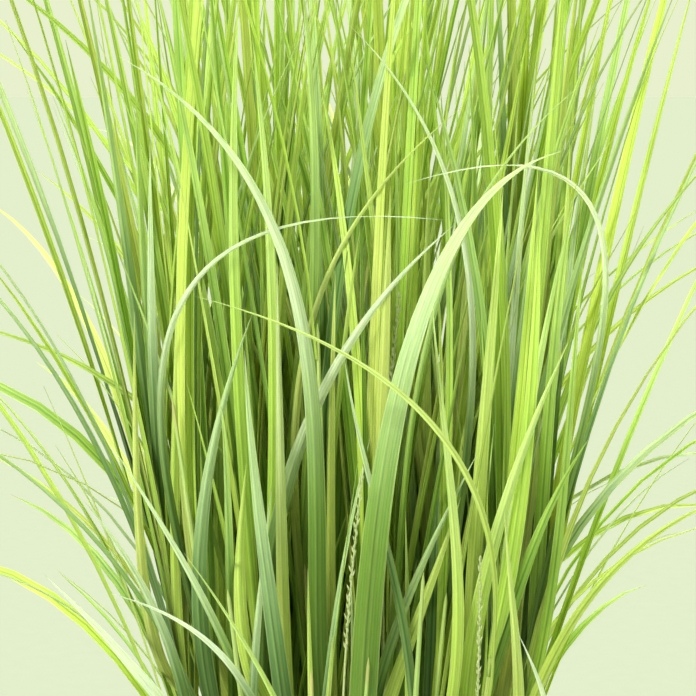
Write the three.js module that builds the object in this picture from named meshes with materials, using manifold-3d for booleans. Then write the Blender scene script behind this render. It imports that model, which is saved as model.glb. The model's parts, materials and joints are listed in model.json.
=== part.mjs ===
// Potted upright switchgrass: a moulded nursery pot, potting mix, and a clump of leafy stems with long blades
// Units are millimetres, +Z is up, and the origin is the centre of the pot's flat underside.
// Every stem stands in its own hole in the mix, and its blades are fused to it.
import * as THREE from "three";
import { mergeVertices } from "three/addons/utils/BufferGeometryUtils.js";
import Module from "manifold-3d";

const wasm = await Module();
wasm.setup();
const radians = THREE.MathUtils.degToRad;
const between = (low, high, draw) => low + (high - low) * draw;

// Driving dimensions of the pot and its filling
const POT_HEIGHT = 232;
const RIM_RADIUS = 126;
const RIM_DEPTH = 16;
const RIM_PROUD = 4;
const FOOT_RADIUS = 97;
const WALL = 2.2;
const RIM_EDGE = 2;
const FOOT_BEVEL = 2.5;
const POT_SIDES = 32;
const DRAIN_HOLES = 6;
const DRAIN_RADIUS = 8;
const DRAIN_CIRCLE = 78;
const DRAIN_SIDES = 8;
const SOIL_LEVEL = 206;
const CLEARANCE = 0.35;

// Driving dimensions of the stems. Where there are two values, each stem has its own between them.
const STEMS = 50;
const CLUMP_RADIUS = 78;
const GOLDEN_ANGLE = radians(137.50776);
const OUTER_LEAN = radians(9);
const LEAN_PLAY = [0.7, 1.3];
const LEAN_COMPASS_PLAY = radians(50);
const TALL_EVERY = 6;
const TALL_FIRST = 3;
const STEM_HEIGHT = [135, 195];
const TALL_STEM_HEIGHT = [240, 300];
const STEM_RADIUS = [2.4, 2.9];
const BURIED = 22;
const STEM_SIDES = 4;
const STEM_ABOVE_COLLAR = 10;
const TOP_TAPER = 0.9;
const KNUCKLE_PLACE = 0.62;
const KNUCKLE_SWELL = 1.28;
const KNUCKLE_HALF = 2.5;

// Driving dimensions of the leaves. Collars are shares of the stem's height. Angles are from the vertical.
const LEAVES_PER_STEM = 9;
const COLLARS = [0.14, 0.98];
const COLLAR_PLAY = [0.95, 1];
const LEAF_COMPASS_PLAY = radians(90);
const UPPER_OPENING = radians(3);
const LOWER_OPENING = radians(12);
const OPENING_PLAY = radians(6);
const ARCHING_SHARE = 0.08;
const ARCHING_OUTER_SHARE = 0.12;
const ARCHING_LOW_SHARE = 0.5;
const LOW_LEAVES = 2;
const ARCHING_BEND = [radians(40), radians(95)];
const UPRIGHT_BEND = [radians(2), radians(19)];
const TURN_PLAY = radians(70);
const SHORTEST_LEAF = 250;
const LONGER_LEAF = 215;
const LONGEST_FROM = 0.12;
const LONGEST_SPAN = 0.68;
const LENGTH_PLAY = [0.7, 1.12];
const NARROWEST_LEAF = 5.2;
const WIDTH_PLAY = 4.2;
const MIDDLE_WIDTH = 1.6;
const ROOT_TWIST_PLAY = radians(50);
const TIP_TWIST_PLAY = radians(100);
const ROOT_WIDTH_SHARE = 0.3;
const WIDENING = 2.8;
const TAPER_START = 1.8;
const TAPER_END = 1.1;
const BLADE_DEPTH = 1.3;
const TIP_THINNING = 0.45;
const LEAST_STEPS = 2.5;
const BEND_A_STEP = 0.4;
const TWIST_A_STEP = 0.9;

// How the leaves are kept apart from each other, from the mix and from the rim
const BLADE_GAP = 0.35;
const MOST_ATTEMPTS = 200;
const EASING = 0.6;
const LEAST_CROSSING = 0.02;
const LOWEST_BLADE = 214;
const RIM_MARGIN = 8;
const POT_MOUTH = 101;
const SIGHT = new THREE.Vector3(0, -110, 15);
const ABOVE_ROOT = 4;
const FINEST_EDGES = [0.2, 0.3, 0.12, 0.4, 0.05, 0.02];
const TOUCHING = 0.002;

// Driving dimensions of the flower spikes
const SPIKE_RADIUS = 0.9;
const SPIKE_TAPER = 0.35;
const SPIKE_RINGS = 7;
const SPIKE_START = 4;
const SPIKELETS = 13;
const SPIKELET_LENGTH = 5.5;
const SPIKELET_RADIUS = 1;
const SPIKELET_SIDES = 3;
const SPIKELET_SUNK = 0.3;
const SPIKELET_LEAN = radians(24);
const SPIKE_HEAD = 85;
const HEAD_CROWDING = 0.9;

// A seeded stream of numbers from 0 to 1, the same on every run
function numbersFrom(seed) {
  let state = seed >>> 0;
  return () => {
    state = (state + 0x6d2b79f5) | 0;
    let mixed = Math.imul(state ^ (state >>> 15), 1 | state);
    mixed = (mixed + Math.imul(mixed ^ (mixed >>> 7), 61 | mixed)) ^ mixed;
    return ((mixed ^ (mixed >>> 14)) >>> 0) / 4294967296;
  };
}

// A direction at an angle from the vertical, towards a compass angle round +Z
function slanted(fromVertical, compass) {
  const level = Math.sin(fromVertical);
  return new THREE.Vector3(level * Math.cos(compass), level * Math.sin(compass), Math.cos(fromVertical));
}

// The stems stand in a sunflower pattern, the outer ones leaning out, every sixth one a taller culm
function stemOf(index) {
  const random = numbersFrom(7001 + index);
  const share = Math.sqrt((index + 0.5) / STEMS);
  const compass = index * GOLDEN_ANGLE;
  const lean = OUTER_LEAN * share * between(...LEAN_PLAY, random());
  const direction = slanted(lean, compass + LEAN_COMPASS_PLAY * (random() - 0.5));
  const foot = slanted(Math.PI / 2, compass).multiplyScalar(CLUMP_RADIUS * share).setZ(SOIL_LEVEL);
  const heights = index % TALL_EVERY === TALL_FIRST ? TALL_STEM_HEIGHT : STEM_HEIGHT;
  const height = between(...heights, random());
  const radius = between(...STEM_RADIUS, random());
  return { index, share, foot, direction, height, radius, plane: compass + Math.PI * random() };
}

const alongStem = (stem, height) => stem.foot.clone().addScaledVector(stem.direction, height);

// A leaf's centreline is a cubic curve. Its three control bars turn from the stem's direction to the droop.
// Each attempt is another set of draws for the same leaf, and later ones hug the stem more closely.
function leafOf(stem, place, attempt) {
  const random = numbersFrom(100000 * (stem.index + 1) + 1000 * place + attempt);
  const rank = place / (LEAVES_PER_STEM - 1);
  const ease = 1 - EASING * (attempt / MOST_ATTEMPTS);
  const collar = stem.height * between(...COLLARS, rank) * between(...COLLAR_PLAY, random());
  const compass = stem.plane + (place % 2 ? Math.PI : 0) + LEAF_COMPASS_PLAY * (random() - 0.5);
  const opening = ease * (between(LOWER_OPENING, UPPER_OPENING, rank) + OPENING_PLAY * random());
  const outer = ARCHING_OUTER_SHARE + (place < LOW_LEAVES ? ARCHING_LOW_SHARE : 0);
  const bends = random() < ARCHING_SHARE + outer * stem.share ? ARCHING_BEND : UPRIGHT_BEND;
  const bend = ease * between(...bends, random());
  const turn = TURN_PLAY * (random() - 0.5);
  const longest = SHORTEST_LEAF + LONGER_LEAF * Math.sin(Math.PI * (LONGEST_FROM + LONGEST_SPAN * rank));
  const length = longest * between(...LENGTH_PLAY, random() * ease);
  const points = [alongStem(stem, collar)];
  for (const t of [0, 0.5, 1]) {
    const bar = slanted(opening + bend * t, compass + turn * t).addScaledVector(stem.direction, 1 - t);
    points.push(points.at(-1).clone().addScaledVector(bar.normalize(), length / 3));
  }
  return {
    points,
    width: NARROWEST_LEAF + WIDTH_PLAY * random() * random() + MIDDLE_WIDTH * Math.sin(Math.PI * rank),
    broadside: slanted(Math.PI / 2, compass + Math.PI / 2),
    twist: [ROOT_TWIST_PLAY * (random() - 0.5), TIP_TWIST_PLAY * (random() - 0.5)],
  };
}

// Leaves that stand in front and give the clump its face: width, twist at root and tip in degrees,
// and the curve's four control points. The first point is moved to the axis of the nearest stem.
const FRONT_LEAVES = [
  [14.0, 8, -48, [5, -77, 279], [9, -96, 386], [10, -104, 579], [98, -90, 597]],
  [9.5, -12, 40, [-8, -47, 280], [-31, -80, 406], [24, -90, 570], [-105, -84, 640]],
  [4.8, 30, 15, [-65, -19, 299], [-79, -60, 421], [-151, -76, 585], [45, -84, 565]],
  [4.0, 65, 5, [68, -55, 329], [81, -104, 427], [56, -114, 501], [-69, -112, 533]],
  [9.4, 10, 30, [-40, -43, 300], [-47, -64, 396], [-28, -76, 497], [50, -62, 561]],
  [4.6, 15, -25, [31, -81, 319], [32, -82, 381], [6, -84, 442], [-2, -92, 504]],
  [4.6, 40, 30, [19, -40, 300], [33, -60, 416], [12, -72, 551], [109, -66, 627]],
  [9.6, 5, 25, [60, -29, 289], [55, -66, 356], [70, -94, 439], [102, -88, 509]],
  [8.6, -15, 22, [61, -30, 298], [77, -50, 353], [86, -60, 411], [116, -56, 457]],
  [4.8, 20, 5, [-38, -42, 280], [-46, -78, 343], [-74, -88, 404], [-111, -82, 459]],
  [4.6, -10, 35, [-26, -63, 278], [-42, -92, 328], [-45, -104, 376], [-110, -102, 393]],
  [9.5, 12, -20, [-26, -62, 269], [-30, -86, 348], [-45, -92, 428], [-48, -86, 505]],
  [8.6, -8, 26, [-62, -49, 299], [-80, -72, 374], [-72, -80, 448], [-45, -74, 520]],
  [4.6, -30, 10, [40, -37, 300], [50, -40, 423], [98, -50, 563], [-1, -56, 656]],
  [4.8, 35, -20, [-18, -33, 300], [-22, -40, 418], [-57, -44, 529], [54, -66, 617]],
  [4.4, 0, 10, [87, -25, 299], [89, -40, 427], [201, -54, 635], [26, -60, 580]],
  [7.4, 10, 30, [-26, -64, 279], [-33, -70, 368], [-31, -76, 458], [-33, -80, 545]],
  [5.6, -20, 15, [-78, -33, 289], [-95, -38, 388], [-79, -44, 488], [-81, -58, 587]],
  [6.4, 25, -30, [39, -58, 280], [67, -76, 361], [45, -84, 442], [39, -80, 528]],
  [6.0, 15, -15, [86, -25, 289], [108, -44, 375], [105, -52, 461], [112, -60, 549]],
  [5.2, -20, 40, [85, -25, 275], [106, -62, 290], [101, -96, 330], [79, -100, 374]],
  [9.0, 0, 30, [-44, -66, 262], [-62, -92, 300], [-88, -106, 352], [-140, -108, 404]],
  [6.6, -20, 25, [-76, -32, 275], [-78, -66, 330], [-82, -92, 384], [-122, -98, 436]],
  [3.4, 10, 40, [-17, -78, 270], [-16, -92, 310], [-40, -110, 365], [-75, -112, 415]],
  [5.6, 20, -20, [-40, -62, 255], [-50, -78, 320], [-44, -82, 370], [-36, -72, 440]],
  [6.6, -15, 25, [9, -62, 285], [6, -72, 330], [26, -76, 385], [62, -74, 455]],
  [8.2, 20, -10, [5, -76, 270], [14, -73, 325], [36, -74, 375], [54, -70, 432]],
  [6.6, -10, 25, [84, -24, 262], [88, -74, 320], [78, -100, 372], [72, -102, 432]],
];

function frontLeafOf([width, twistRoot, twistTip, ...places], stems) {
  const points = places.map((place) => new THREE.Vector3(...place));
  const distance = (stem) => points[0].distanceTo(alongStem(stem, points[0].z - SOIL_LEVEL));
  const carriers = stems.filter((stem) => stem.height > points[0].z - SOIL_LEVEL + ABOVE_ROOT);
  const stem = carriers.reduce((best, other) => (distance(other) < distance(best) ? other : best));
  points[0] = alongStem(stem, points[0].z - SOIL_LEVEL);
  const broadside = new THREE.Vector3(1, 0, 0);
  return { stem, leaf: { points, width, broadside, twist: [radians(twistRoot), radians(twistTip)] } };
}

// The blade's width along its length: narrow at the sheath, widest at a quarter, then a long taper
const outline = (t) => Math.min(1, ROOT_WIDTH_SHARE + WIDENING * t) * (1 - t ** TAPER_START) ** TAPER_END;

// Rings across a blade: its centre, the direction across, the underside's direction, half width and depth
function ringsOf(leaf) {
  const curve = new THREE.CubicBezierCurve3(...leaf.points);
  const bending = curve.getTangent(0).angleTo(curve.getTangent(1));
  const twisting = Math.abs(leaf.twist[1] - leaf.twist[0]);
  const steps = Math.round(LEAST_STEPS + bending / BEND_A_STEP + twisting / TWIST_A_STEP);
  return Array.from({ length: steps + 1 }, (_, i) => {
    const t = i / steps;
    const tangent = curve.getTangent(t);
    const across = leaf.broadside.clone().addScaledVector(tangent, -leaf.broadside.dot(tangent)).normalize();
    across.applyAxisAngle(tangent, leaf.twist[0] + (leaf.twist[1] - leaf.twist[0]) * t);
    const under = new THREE.Vector3().crossVectors(across, tangent);
    return {
      centre: curve.getPoint(t),
      across,
      under,
      half: (leaf.width / 2) * outline(t),
      depth: i < steps ? BLADE_DEPTH * (1 - TIP_THINNING * t) : 0,
    };
  });
}

// The stretches between rings, each with the corners that hold its solid
function stretchesOf(rings) {
  return rings.slice(1).map((far, i) => {
    const near = rings[i];
    const corners = [near, far].flatMap(({ centre, across, under, half, depth }) => [
      centre.clone().addScaledVector(across, half),
      centre.clone().addScaledVector(across, -half),
      centre.clone().addScaledVector(under, depth),
    ]);
    return {
      corners,
      box: new THREE.Box3().setFromPoints(corners),
      along: far.centre.clone().sub(near.centre).normalize(),
      across: near.across.clone().add(far.across).normalize(),
      under: near.under.clone().add(far.under).normalize(),
    };
  });
}

// True if seen along some direction the two stretches have a gap between them
const grown = new THREE.Box3();
const crossing = new THREE.Vector3();
function reachOf(corners, direction) {
  let low = Infinity;
  let high = -Infinity;
  for (const corner of corners) {
    const reach = corner.dot(direction);
    low = Math.min(low, reach);
    high = Math.max(high, reach);
  }
  return [low, high];
}
function apart(a, b, gap) {
  if (!grown.copy(a.box).expandByScalar(gap).intersectsBox(b.box)) return true;
  const gapAlong = (direction) => {
    const [lowA, highA] = reachOf(a.corners, direction);
    const [lowB, highB] = reachOf(b.corners, direction);
    return lowA > highB + gap || lowB > highA + gap;
  };
  if ([a.under, b.under, a.across, b.across].some(gapAlong)) return true;
  for (const first of [a.along, a.across]) {
    for (const second of [b.along, b.across]) {
      crossing.crossVectors(first, second);
      if (crossing.length() > LEAST_CROSSING && gapAlong(crossing.normalize())) return true;
    }
  }
  return false;
}

// Rings round a culm: its buried end, the swollen knuckle, the collar, and its end inside the last sheath
function culmOf(stem) {
  const side = new THREE.Vector3(1, 0, 0).addScaledVector(stem.direction, -stem.direction.x).normalize();
  const front = new THREE.Vector3().crossVectors(stem.direction, side);
  const knuckle = stem.height * KNUCKLE_PLACE;
  const heights = [-BURIED, knuckle - KNUCKLE_HALF, knuckle, knuckle + KNUCKLE_HALF, stem.height];
  const swell = [1, 1, KNUCKLE_SWELL, 1, TOP_TAPER];
  return { side, front, rings: heights.map((height, i) => ({ height, radius: stem.radius * swell[i] })) };
}

// Nothing stands before a front leaf or a spike's head, so the space from it to the viewer is kept free
function sightOf(stretch) {
  const corners = [...stretch.corners, ...stretch.corners.map((corner) => corner.clone().add(SIGHT))];
  const across = SIGHT.clone().normalize();
  const under = new THREE.Vector3().crossVectors(stretch.along, across).normalize();
  return { corners, box: new THREE.Box3().setFromPoints(corners), along: stretch.along, across, under };
}

// A place is kept free for each culm before any blade is laid
function culmStretch(stem) {
  const { side, front } = culmOf(stem);
  const reach = stem.radius * KNUCKLE_SWELL;
  const corners = [0, stem.height + STEM_ABOVE_COLLAR].flatMap((height) =>
    [[1, 1], [1, -1], [-1, 1], [-1, -1]].map(([u, v]) =>
      alongStem(stem, height).addScaledVector(side, u * reach).addScaledVector(front, v * reach),
    ),
  );
  const box = new THREE.Box3().setFromPoints(corners);
  return { corners, box, along: stem.direction, across: side, under: front };
}

// Blades stay above the mix and clear of the rim
function clearOfPot({ corners }) {
  return corners.every(({ x, y, z }) => {
    const radius = Math.hypot(x, y);
    return z > (radius < POT_MOUTH ? LOWEST_BLADE : POT_HEIGHT + RIM_MARGIN);
  });
}

const boxAround = (stretches) => stretches.reduce((all, { box }) => all.union(box), new THREE.Box3());

function placed(stem, leaf) {
  const stretches = stretchesOf(ringsOf(leaf));
  return { stem, leaf, stretches, box: boxAround(stretches) };
}

// A blade's own culm is met at its root, and so are its neighbours on that culm
function free(candidate, others) {
  if (!candidate.stretches.every(clearOfPot)) return false;
  const reach = candidate.box.clone().expandByScalar(BLADE_GAP);
  return others.every((other) => {
    if (!reach.intersectsBox(other.box)) return true;
    const related = other.stem === candidate.stem;
    if (related && !other.leaf) return true;
    const mine = related ? candidate.stretches.slice(1) : candidate.stretches;
    const theirs = related ? other.stretches.slice(1) : other.stretches;
    return mine.every((a) => theirs.every((b) => apart(a, b, BLADE_GAP)));
  });
}

// The flower spikes' foot on the mix and the other three control points of their curve
const FLOWER_SPIKES = [
  [[55, -80], [60, -94, 290], [62, -100, 350], [61, -102, 411]],
  [[2, -86], [-9, -96, 300], [0, -102, 390], [7, -102, 452]],
  [[22, -52], [17, -58, 330], [13, -59, 430], [25, -57, 528]],
];

function spikeOf([[x, y], ...places]) {
  const start = new THREE.Vector3(x, y, SOIL_LEVEL + SPIKE_START);
  return new THREE.CubicBezierCurve3(start, ...places.map((place) => new THREE.Vector3(...place)));
}

// A place is kept free for each spike, wider where its spikelets are
function spikeStretches(curve) {
  const rings = Array.from({ length: SPIKE_RINGS + 1 }, (_, i) => {
    const t = i / SPIKE_RINGS;
    const tangent = curve.getTangent(t);
    const across = new THREE.Vector3(1, 0, 0).addScaledVector(tangent, -tangent.x).normalize();
    return { centre: curve.getPoint(t), across, under: new THREE.Vector3().crossVectors(across, tangent) };
  });
  const reach = SPIKE_RADIUS + 2 * SPIKELET_RADIUS;
  return rings.slice(1).map((far, i) => {
    const near = rings[i];
    const corners = [near, far].flatMap(({ centre, across, under }) =>
      [[1, 1], [1, -1], [-1, 1], [-1, -1]].map(([u, v]) =>
        centre.clone().addScaledVector(across, u * reach).addScaledVector(under, v * reach),
      ),
    );
    const along = far.centre.clone().sub(near.centre).normalize();
    const box = new THREE.Box3().setFromPoints(corners);
    return { corners, box, along, across: near.across, under: near.under };
  });
}

function growClump() {
  const stems = Array.from({ length: STEMS }, (_, index) => stemOf(index));
  const spikes = FLOWER_SPIKES.map(spikeOf);
  const things = stems.map((stem) => {
    const stretch = culmStretch(stem);
    return { stem, stretches: [stretch], box: stretch.box };
  });
  for (const spike of spikes) {
    const stretches = spikeStretches(spike);
    const sights = stretches.slice(Math.ceil(SPIKE_RINGS / 2)).map(sightOf);
    things.push({ stretches, box: boxAround(stretches) }, { stretches: sights, box: boxAround(sights) });
  }
  for (const front of FRONT_LEAVES) {
    const { stem, leaf } = frontLeafOf(front, stems);
    const frontLeaf = placed(stem, leaf);
    const sights = frontLeaf.stretches.slice(1).map(sightOf);
    things.push(frontLeaf, { stretches: sights, box: boxAround(sights) });
  }
  for (let place = 0; place < LEAVES_PER_STEM; place++) {
    for (const stem of stems) {
      for (let attempt = 0; attempt < MOST_ATTEMPTS; attempt++) {
        const candidate = placed(stem, leafOf(stem, place, attempt));
        if (!free(candidate, things)) continue;
        things.push(candidate);
        break;
      }
    }
  }
  return { stems, spikes, leaves: things.filter((thing) => thing.leaf) };
}

// A closed solid from its corners and faces. Each face lists corner numbers, anticlockwise from outside.
function solidOf(corners, faces) {
  const geometry = new THREE.BufferGeometry().setFromPoints(corners);
  const fan = (face) => face.slice(2).flatMap((last, i) => [face[0], face[i + 1], last]);
  geometry.setIndex(faces.flatMap(fan));
  return manifoldOf(geometry);
}

function manifoldOf(geometry) {
  const bare = new THREE.BufferGeometry().setAttribute("position", geometry.getAttribute("position").clone());
  bare.setIndex(geometry.index);
  const merged = mergeVertices(bare, 1e-4);
  const mesh = new wasm.Mesh({
    numProp: 3,
    vertProperties: Float32Array.from(merged.attributes.position.array),
    triVerts: Uint32Array.from(merged.index.array),
  });
  return new wasm.Manifold(mesh);
}

function geometryOf(solid) {
  const mesh = solid.getMesh();
  const geometry = new THREE.BufferGeometry();
  geometry.setAttribute("position", new THREE.BufferAttribute(mesh.vertProperties, mesh.numProp));
  geometry.setIndex(new THREE.BufferAttribute(mesh.triVerts, 1));
  geometry.computeVertexNormals();
  return geometry;
}

// A blade is flat above and keeled below, and ends in a point. Each four-cornered face is split along the
// diagonal that bulges outwards, so that a twisted blade's two faces never meet.
function bladeSolid(leaf) {
  const rings = ringsOf(leaf);
  const corners = rings.slice(0, -1).flatMap(({ centre, across, under, half, depth }) => [
    centre.clone().addScaledVector(across, half),
    centre.clone().addScaledVector(across, -half),
    centre.clone().addScaledVector(under, depth),
  ]);
  const tip = corners.push(rings.at(-1).centre) - 1;
  const faces = [[0, 2, 1]];
  const plane = new THREE.Plane();
  for (let ring = 0; ring + 2 < rings.length; ring++) {
    const a = 3 * ring;
    for (const [one, two] of [[1, 0], [2, 1], [0, 2]]) {
      const [p, q, r, s] = [a + one, a + one + 3, a + two + 3, a + two];
      plane.setFromCoplanarPoints(corners[p], corners[q], corners[s]);
      const bulges = plane.distanceToPoint(corners[r]) > 0;
      faces.push(...(bulges ? [[p, q, r], [p, r, s]] : [[q, r, s], [q, s, p]]));
    }
  }
  const a = tip - 3;
  faces.push([a + 1, tip, a], [a + 2, tip, a + 1], [a, tip, a + 2]);
  return solidOf(corners, faces);
}

// A four-sided bar through rings with a centre and a radius, with an optional point above them
function barSolid(rings, { side, front }, point) {
  const around = Array.from({ length: STEM_SIDES }, (_, i) => i);
  const corners = rings.flatMap(({ centre, radius }) =>
    around.map((i) => {
      const angle = (2 * Math.PI * i) / STEM_SIDES;
      const corner = centre.clone().addScaledVector(side, radius * Math.cos(angle));
      return corner.addScaledVector(front, radius * Math.sin(angle));
    }),
  );
  const last = (rings.length - 1) * STEM_SIDES;
  const faces = [[...around].reverse()];
  for (let ring = 0; ring < last; ring += STEM_SIDES) {
    for (const i of around) {
      const next = (i + 1) % STEM_SIDES;
      faces.push([ring + i, ring + next, ring + STEM_SIDES + next, ring + STEM_SIDES + i]);
    }
  }
  if (point) {
    const end = corners.push(point) - 1;
    faces.push(...around.map((i) => [last + i, last + ((i + 1) % STEM_SIDES), end]));
  } else {
    faces.push(around.map((i) => last + i));
  }
  return solidOf(corners, faces);
}

function culmSolid(stem) {
  const { side, front, rings } = culmOf(stem);
  const placedRings = rings.map(({ height, radius }) => ({ centre: alongStem(stem, height), radius }));
  return barSolid(placedRings, { side, front }, alongStem(stem, stem.height + STEM_ABOVE_COLLAR));
}

const holeRadius = (radius) => radius + CLEARANCE / Math.cos(Math.PI / STEM_SIDES);

function holeSolid(stem) {
  const radius = holeRadius(stem.radius);
  const rings = [-BURIED - CLEARANCE, BURIED].map((height) => ({ centre: alongStem(stem, height), radius }));
  return barSolid(rings, culmOf(stem));
}

// Edges too short to matter go, at the first size that leaves no two corners touching
function tidied(solid) {
  for (const finest of FINEST_EDGES) {
    const tried = solid.asOriginal().simplify(finest);
    if (!pinched(tried)) return tried;
  }
  return solid;
}

function pinched(solid) {
  const { vertProperties: places } = solid.getMesh();
  const cells = new Set();
  for (let i = 0; i < places.length; i += 3) {
    const cell = [0, 1, 2].map((axis) => Math.round(places[i + axis] / TOUCHING)).join();
    if (cells.has(cell)) return true;
    cells.add(cell);
  }
  return false;
}

// One leafy stem: the culm with its blades fused on
function stemSolid(stem, leaves) {
  const blades = leaves.filter((leaf) => leaf.stem === stem).map(({ leaf }) => bladeSolid(leaf));
  return tidied(blades.reduce((joined, blade) => joined.add(blade), culmSolid(stem)));
}

// A spike's buried foot stands upright under the start of its curve
const LEVEL = { side: new THREE.Vector3(1, 0, 0), front: new THREE.Vector3(0, 1, 0) };
function spikeCulmSolid(curve) {
  const foot = curve.getPoint(0).setZ(SOIL_LEVEL - BURIED);
  const rings = [{ centre: foot, radius: SPIKE_RADIUS }];
  for (let i = 0; i < SPIKE_RINGS; i++) {
    const t = i / SPIKE_RINGS;
    rings.push({ centre: curve.getPoint(t), radius: SPIKE_RADIUS * (1 - SPIKE_TAPER * t) });
  }
  return barSolid(rings, LEVEL, curve.getPoint(1));
}

// A three-sided spindle that leaves the spike's culm at a slant
function spikeletSolid(curve, number) {
  const below = SPIKE_HEAD * (1 - number / SPIKELETS) ** HEAD_CROWDING;
  const root = curve.getPointAt(1 - (below + SPIKE_START) / (curve.getLength() + SPIKE_START));
  const compass = number * GOLDEN_ANGLE;
  const axis = slanted(SPIKELET_LEAN, compass);
  const side = slanted(Math.PI / 2, compass + Math.PI / 2);
  const front = new THREE.Vector3().crossVectors(axis, side);
  const middle = root.clone().addScaledVector(axis, SPIKELET_LENGTH / 2);
  const around = Array.from({ length: SPIKELET_SIDES }, (_, i) => i);
  const ring = around.map((i) => {
    const angle = (2 * Math.PI * i) / SPIKELET_SIDES;
    const corner = middle.clone().addScaledVector(side, SPIKELET_RADIUS * Math.cos(angle));
    return corner.addScaledVector(front, SPIKELET_RADIUS * Math.sin(angle));
  });
  const ends = [-SPIKELET_SUNK, SPIKELET_LENGTH].map((reach) => root.clone().addScaledVector(axis, reach));
  const [low, high] = [SPIKELET_SIDES, SPIKELET_SIDES + 1];
  const faces = around.flatMap((i) => {
    const next = (i + 1) % SPIKELET_SIDES;
    return [[i, next, high], [next, i, low]];
  });
  return solidOf([...ring, ...ends], faces);
}

function spikeSolid(curve) {
  let whole = spikeCulmSolid(curve);
  for (let number = 0; number < SPIKELETS; number++) whole = whole.add(spikeletSolid(curve, number));
  return whole;
}

function spikeHole(curve) {
  const radius = holeRadius(SPIKE_RADIUS);
  const foot = curve.getPoint(0);
  const heights = [SOIL_LEVEL - BURIED - CLEARANCE, SOIL_LEVEL + BURIED];
  return barSolid(heights.map((height) => ({ centre: foot.clone().setZ(height), radius })), LEVEL);
}

// The pot's outer wall widens evenly from foot to rim
const BODY_TOP = POT_HEIGHT - RIM_DEPTH;
const outerRadius = (z) => FOOT_RADIUS + ((RIM_RADIUS - RIM_PROUD - FOOT_RADIUS) * z) / BODY_TOP;
const innerRadius = (z) => outerRadius(z) - WALL;

function potSolid() {
  const profile = [
    [0, 0],
    [FOOT_RADIUS - FOOT_BEVEL, 0],
    [outerRadius(FOOT_BEVEL), FOOT_BEVEL],
    [outerRadius(BODY_TOP), BODY_TOP],
    [RIM_RADIUS, BODY_TOP + RIM_EDGE / 2],
    [RIM_RADIUS, POT_HEIGHT - RIM_EDGE],
    [RIM_RADIUS - RIM_EDGE, POT_HEIGHT],
    [innerRadius(BODY_TOP) + RIM_EDGE / 2, POT_HEIGHT],
    [innerRadius(BODY_TOP), BODY_TOP],
    [innerRadius(WALL), WALL],
    [0, WALL],
  ];
  const points = profile.map(([radius, z]) => new THREE.Vector2(radius, z));
  let pot = manifoldOf(new THREE.LatheGeometry(points, POT_SIDES).rotateX(Math.PI / 2));
  for (let i = 0; i < DRAIN_HOLES; i++) {
    const drill = new THREE.CylinderGeometry(DRAIN_RADIUS, DRAIN_RADIUS, 4 * WALL, DRAIN_SIDES);
    drill.rotateX(Math.PI / 2).translate(DRAIN_CIRCLE, 0, 0).rotateZ((2 * Math.PI * i) / DRAIN_HOLES);
    pot = pot.subtract(manifoldOf(drill));
  }
  return pot;
}

// The mix fills the pot, and has a plain hole for each stem and spike
function soilSolid(stems, spikes) {
  const bottom = WALL + CLEARANCE;
  const edge = innerRadius(SOIL_LEVEL) - CLEARANCE;
  const foot = innerRadius(bottom) - CLEARANCE;
  const profile = [[0, bottom], [foot, bottom], [edge, SOIL_LEVEL], [0, SOIL_LEVEL]];
  const points = profile.map(([radius, z]) => new THREE.Vector2(radius, z));
  const geometry = new THREE.LatheGeometry(points, POT_SIDES).rotateX(Math.PI / 2);
  const holes = [...stems.map(holeSolid), ...spikes.map(spikeHole)];
  return tidied(holes.reduce((mix, hole) => mix.subtract(hole), manifoldOf(geometry)));
}

const GREENS = [0x9cc24c, 0x86b04a, 0x84ab66];
const matt = (name, color, roughness) =>
  new THREE.MeshStandardMaterial({ name, color, roughness, metalness: 0 });
const plastic = (name) => matt(name, 0x1d1f20, 0.55);
const bark = (name) => matt(name, 0x3b2a1e, 0.95);
const straw = (name) => matt(name, 0xc9d49a, 0.7);
const grass = (name, shade) => matt(name, GREENS[shade % GREENS.length], 0.5);

function nodeOf(name, solid, material) {
  const mesh = new THREE.Mesh(geometryOf(solid), material);
  mesh.name = name;
  return mesh;
}

const { stems, spikes, leaves } = growClump();
const plant = new THREE.Group();
plant.add(nodeOf("pot", potSolid(), plastic("pot")));
plant.add(nodeOf("soil", soilSolid(stems, spikes), bark("soil")));
for (const stem of stems) {
  const name = `stem_${String(stem.index + 1).padStart(2, "0")}`;
  plant.add(nodeOf(name, stemSolid(stem, leaves), grass(name, stem.index)));
}
spikes.forEach((spike, i) => {
  const name = `flower_spike_${i + 1}`;
  plant.add(nodeOf(name, spikeSolid(spike), straw(name)));
});

export default plant;
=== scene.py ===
# %% [markdown]
# # A clump of upright switchgrass in a nursery pot
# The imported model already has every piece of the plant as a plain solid: the pot, the potting mix, fifty
# leafy stems and three flower spikes. This lesson dresses them. Each solid is replaced by a finer piece that
# follows the same curves, so nothing moves: the blades get their channel, midrib, veins and sheaths, the pot
# its rolled rim, and the mix its crumbs and bark.

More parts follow.
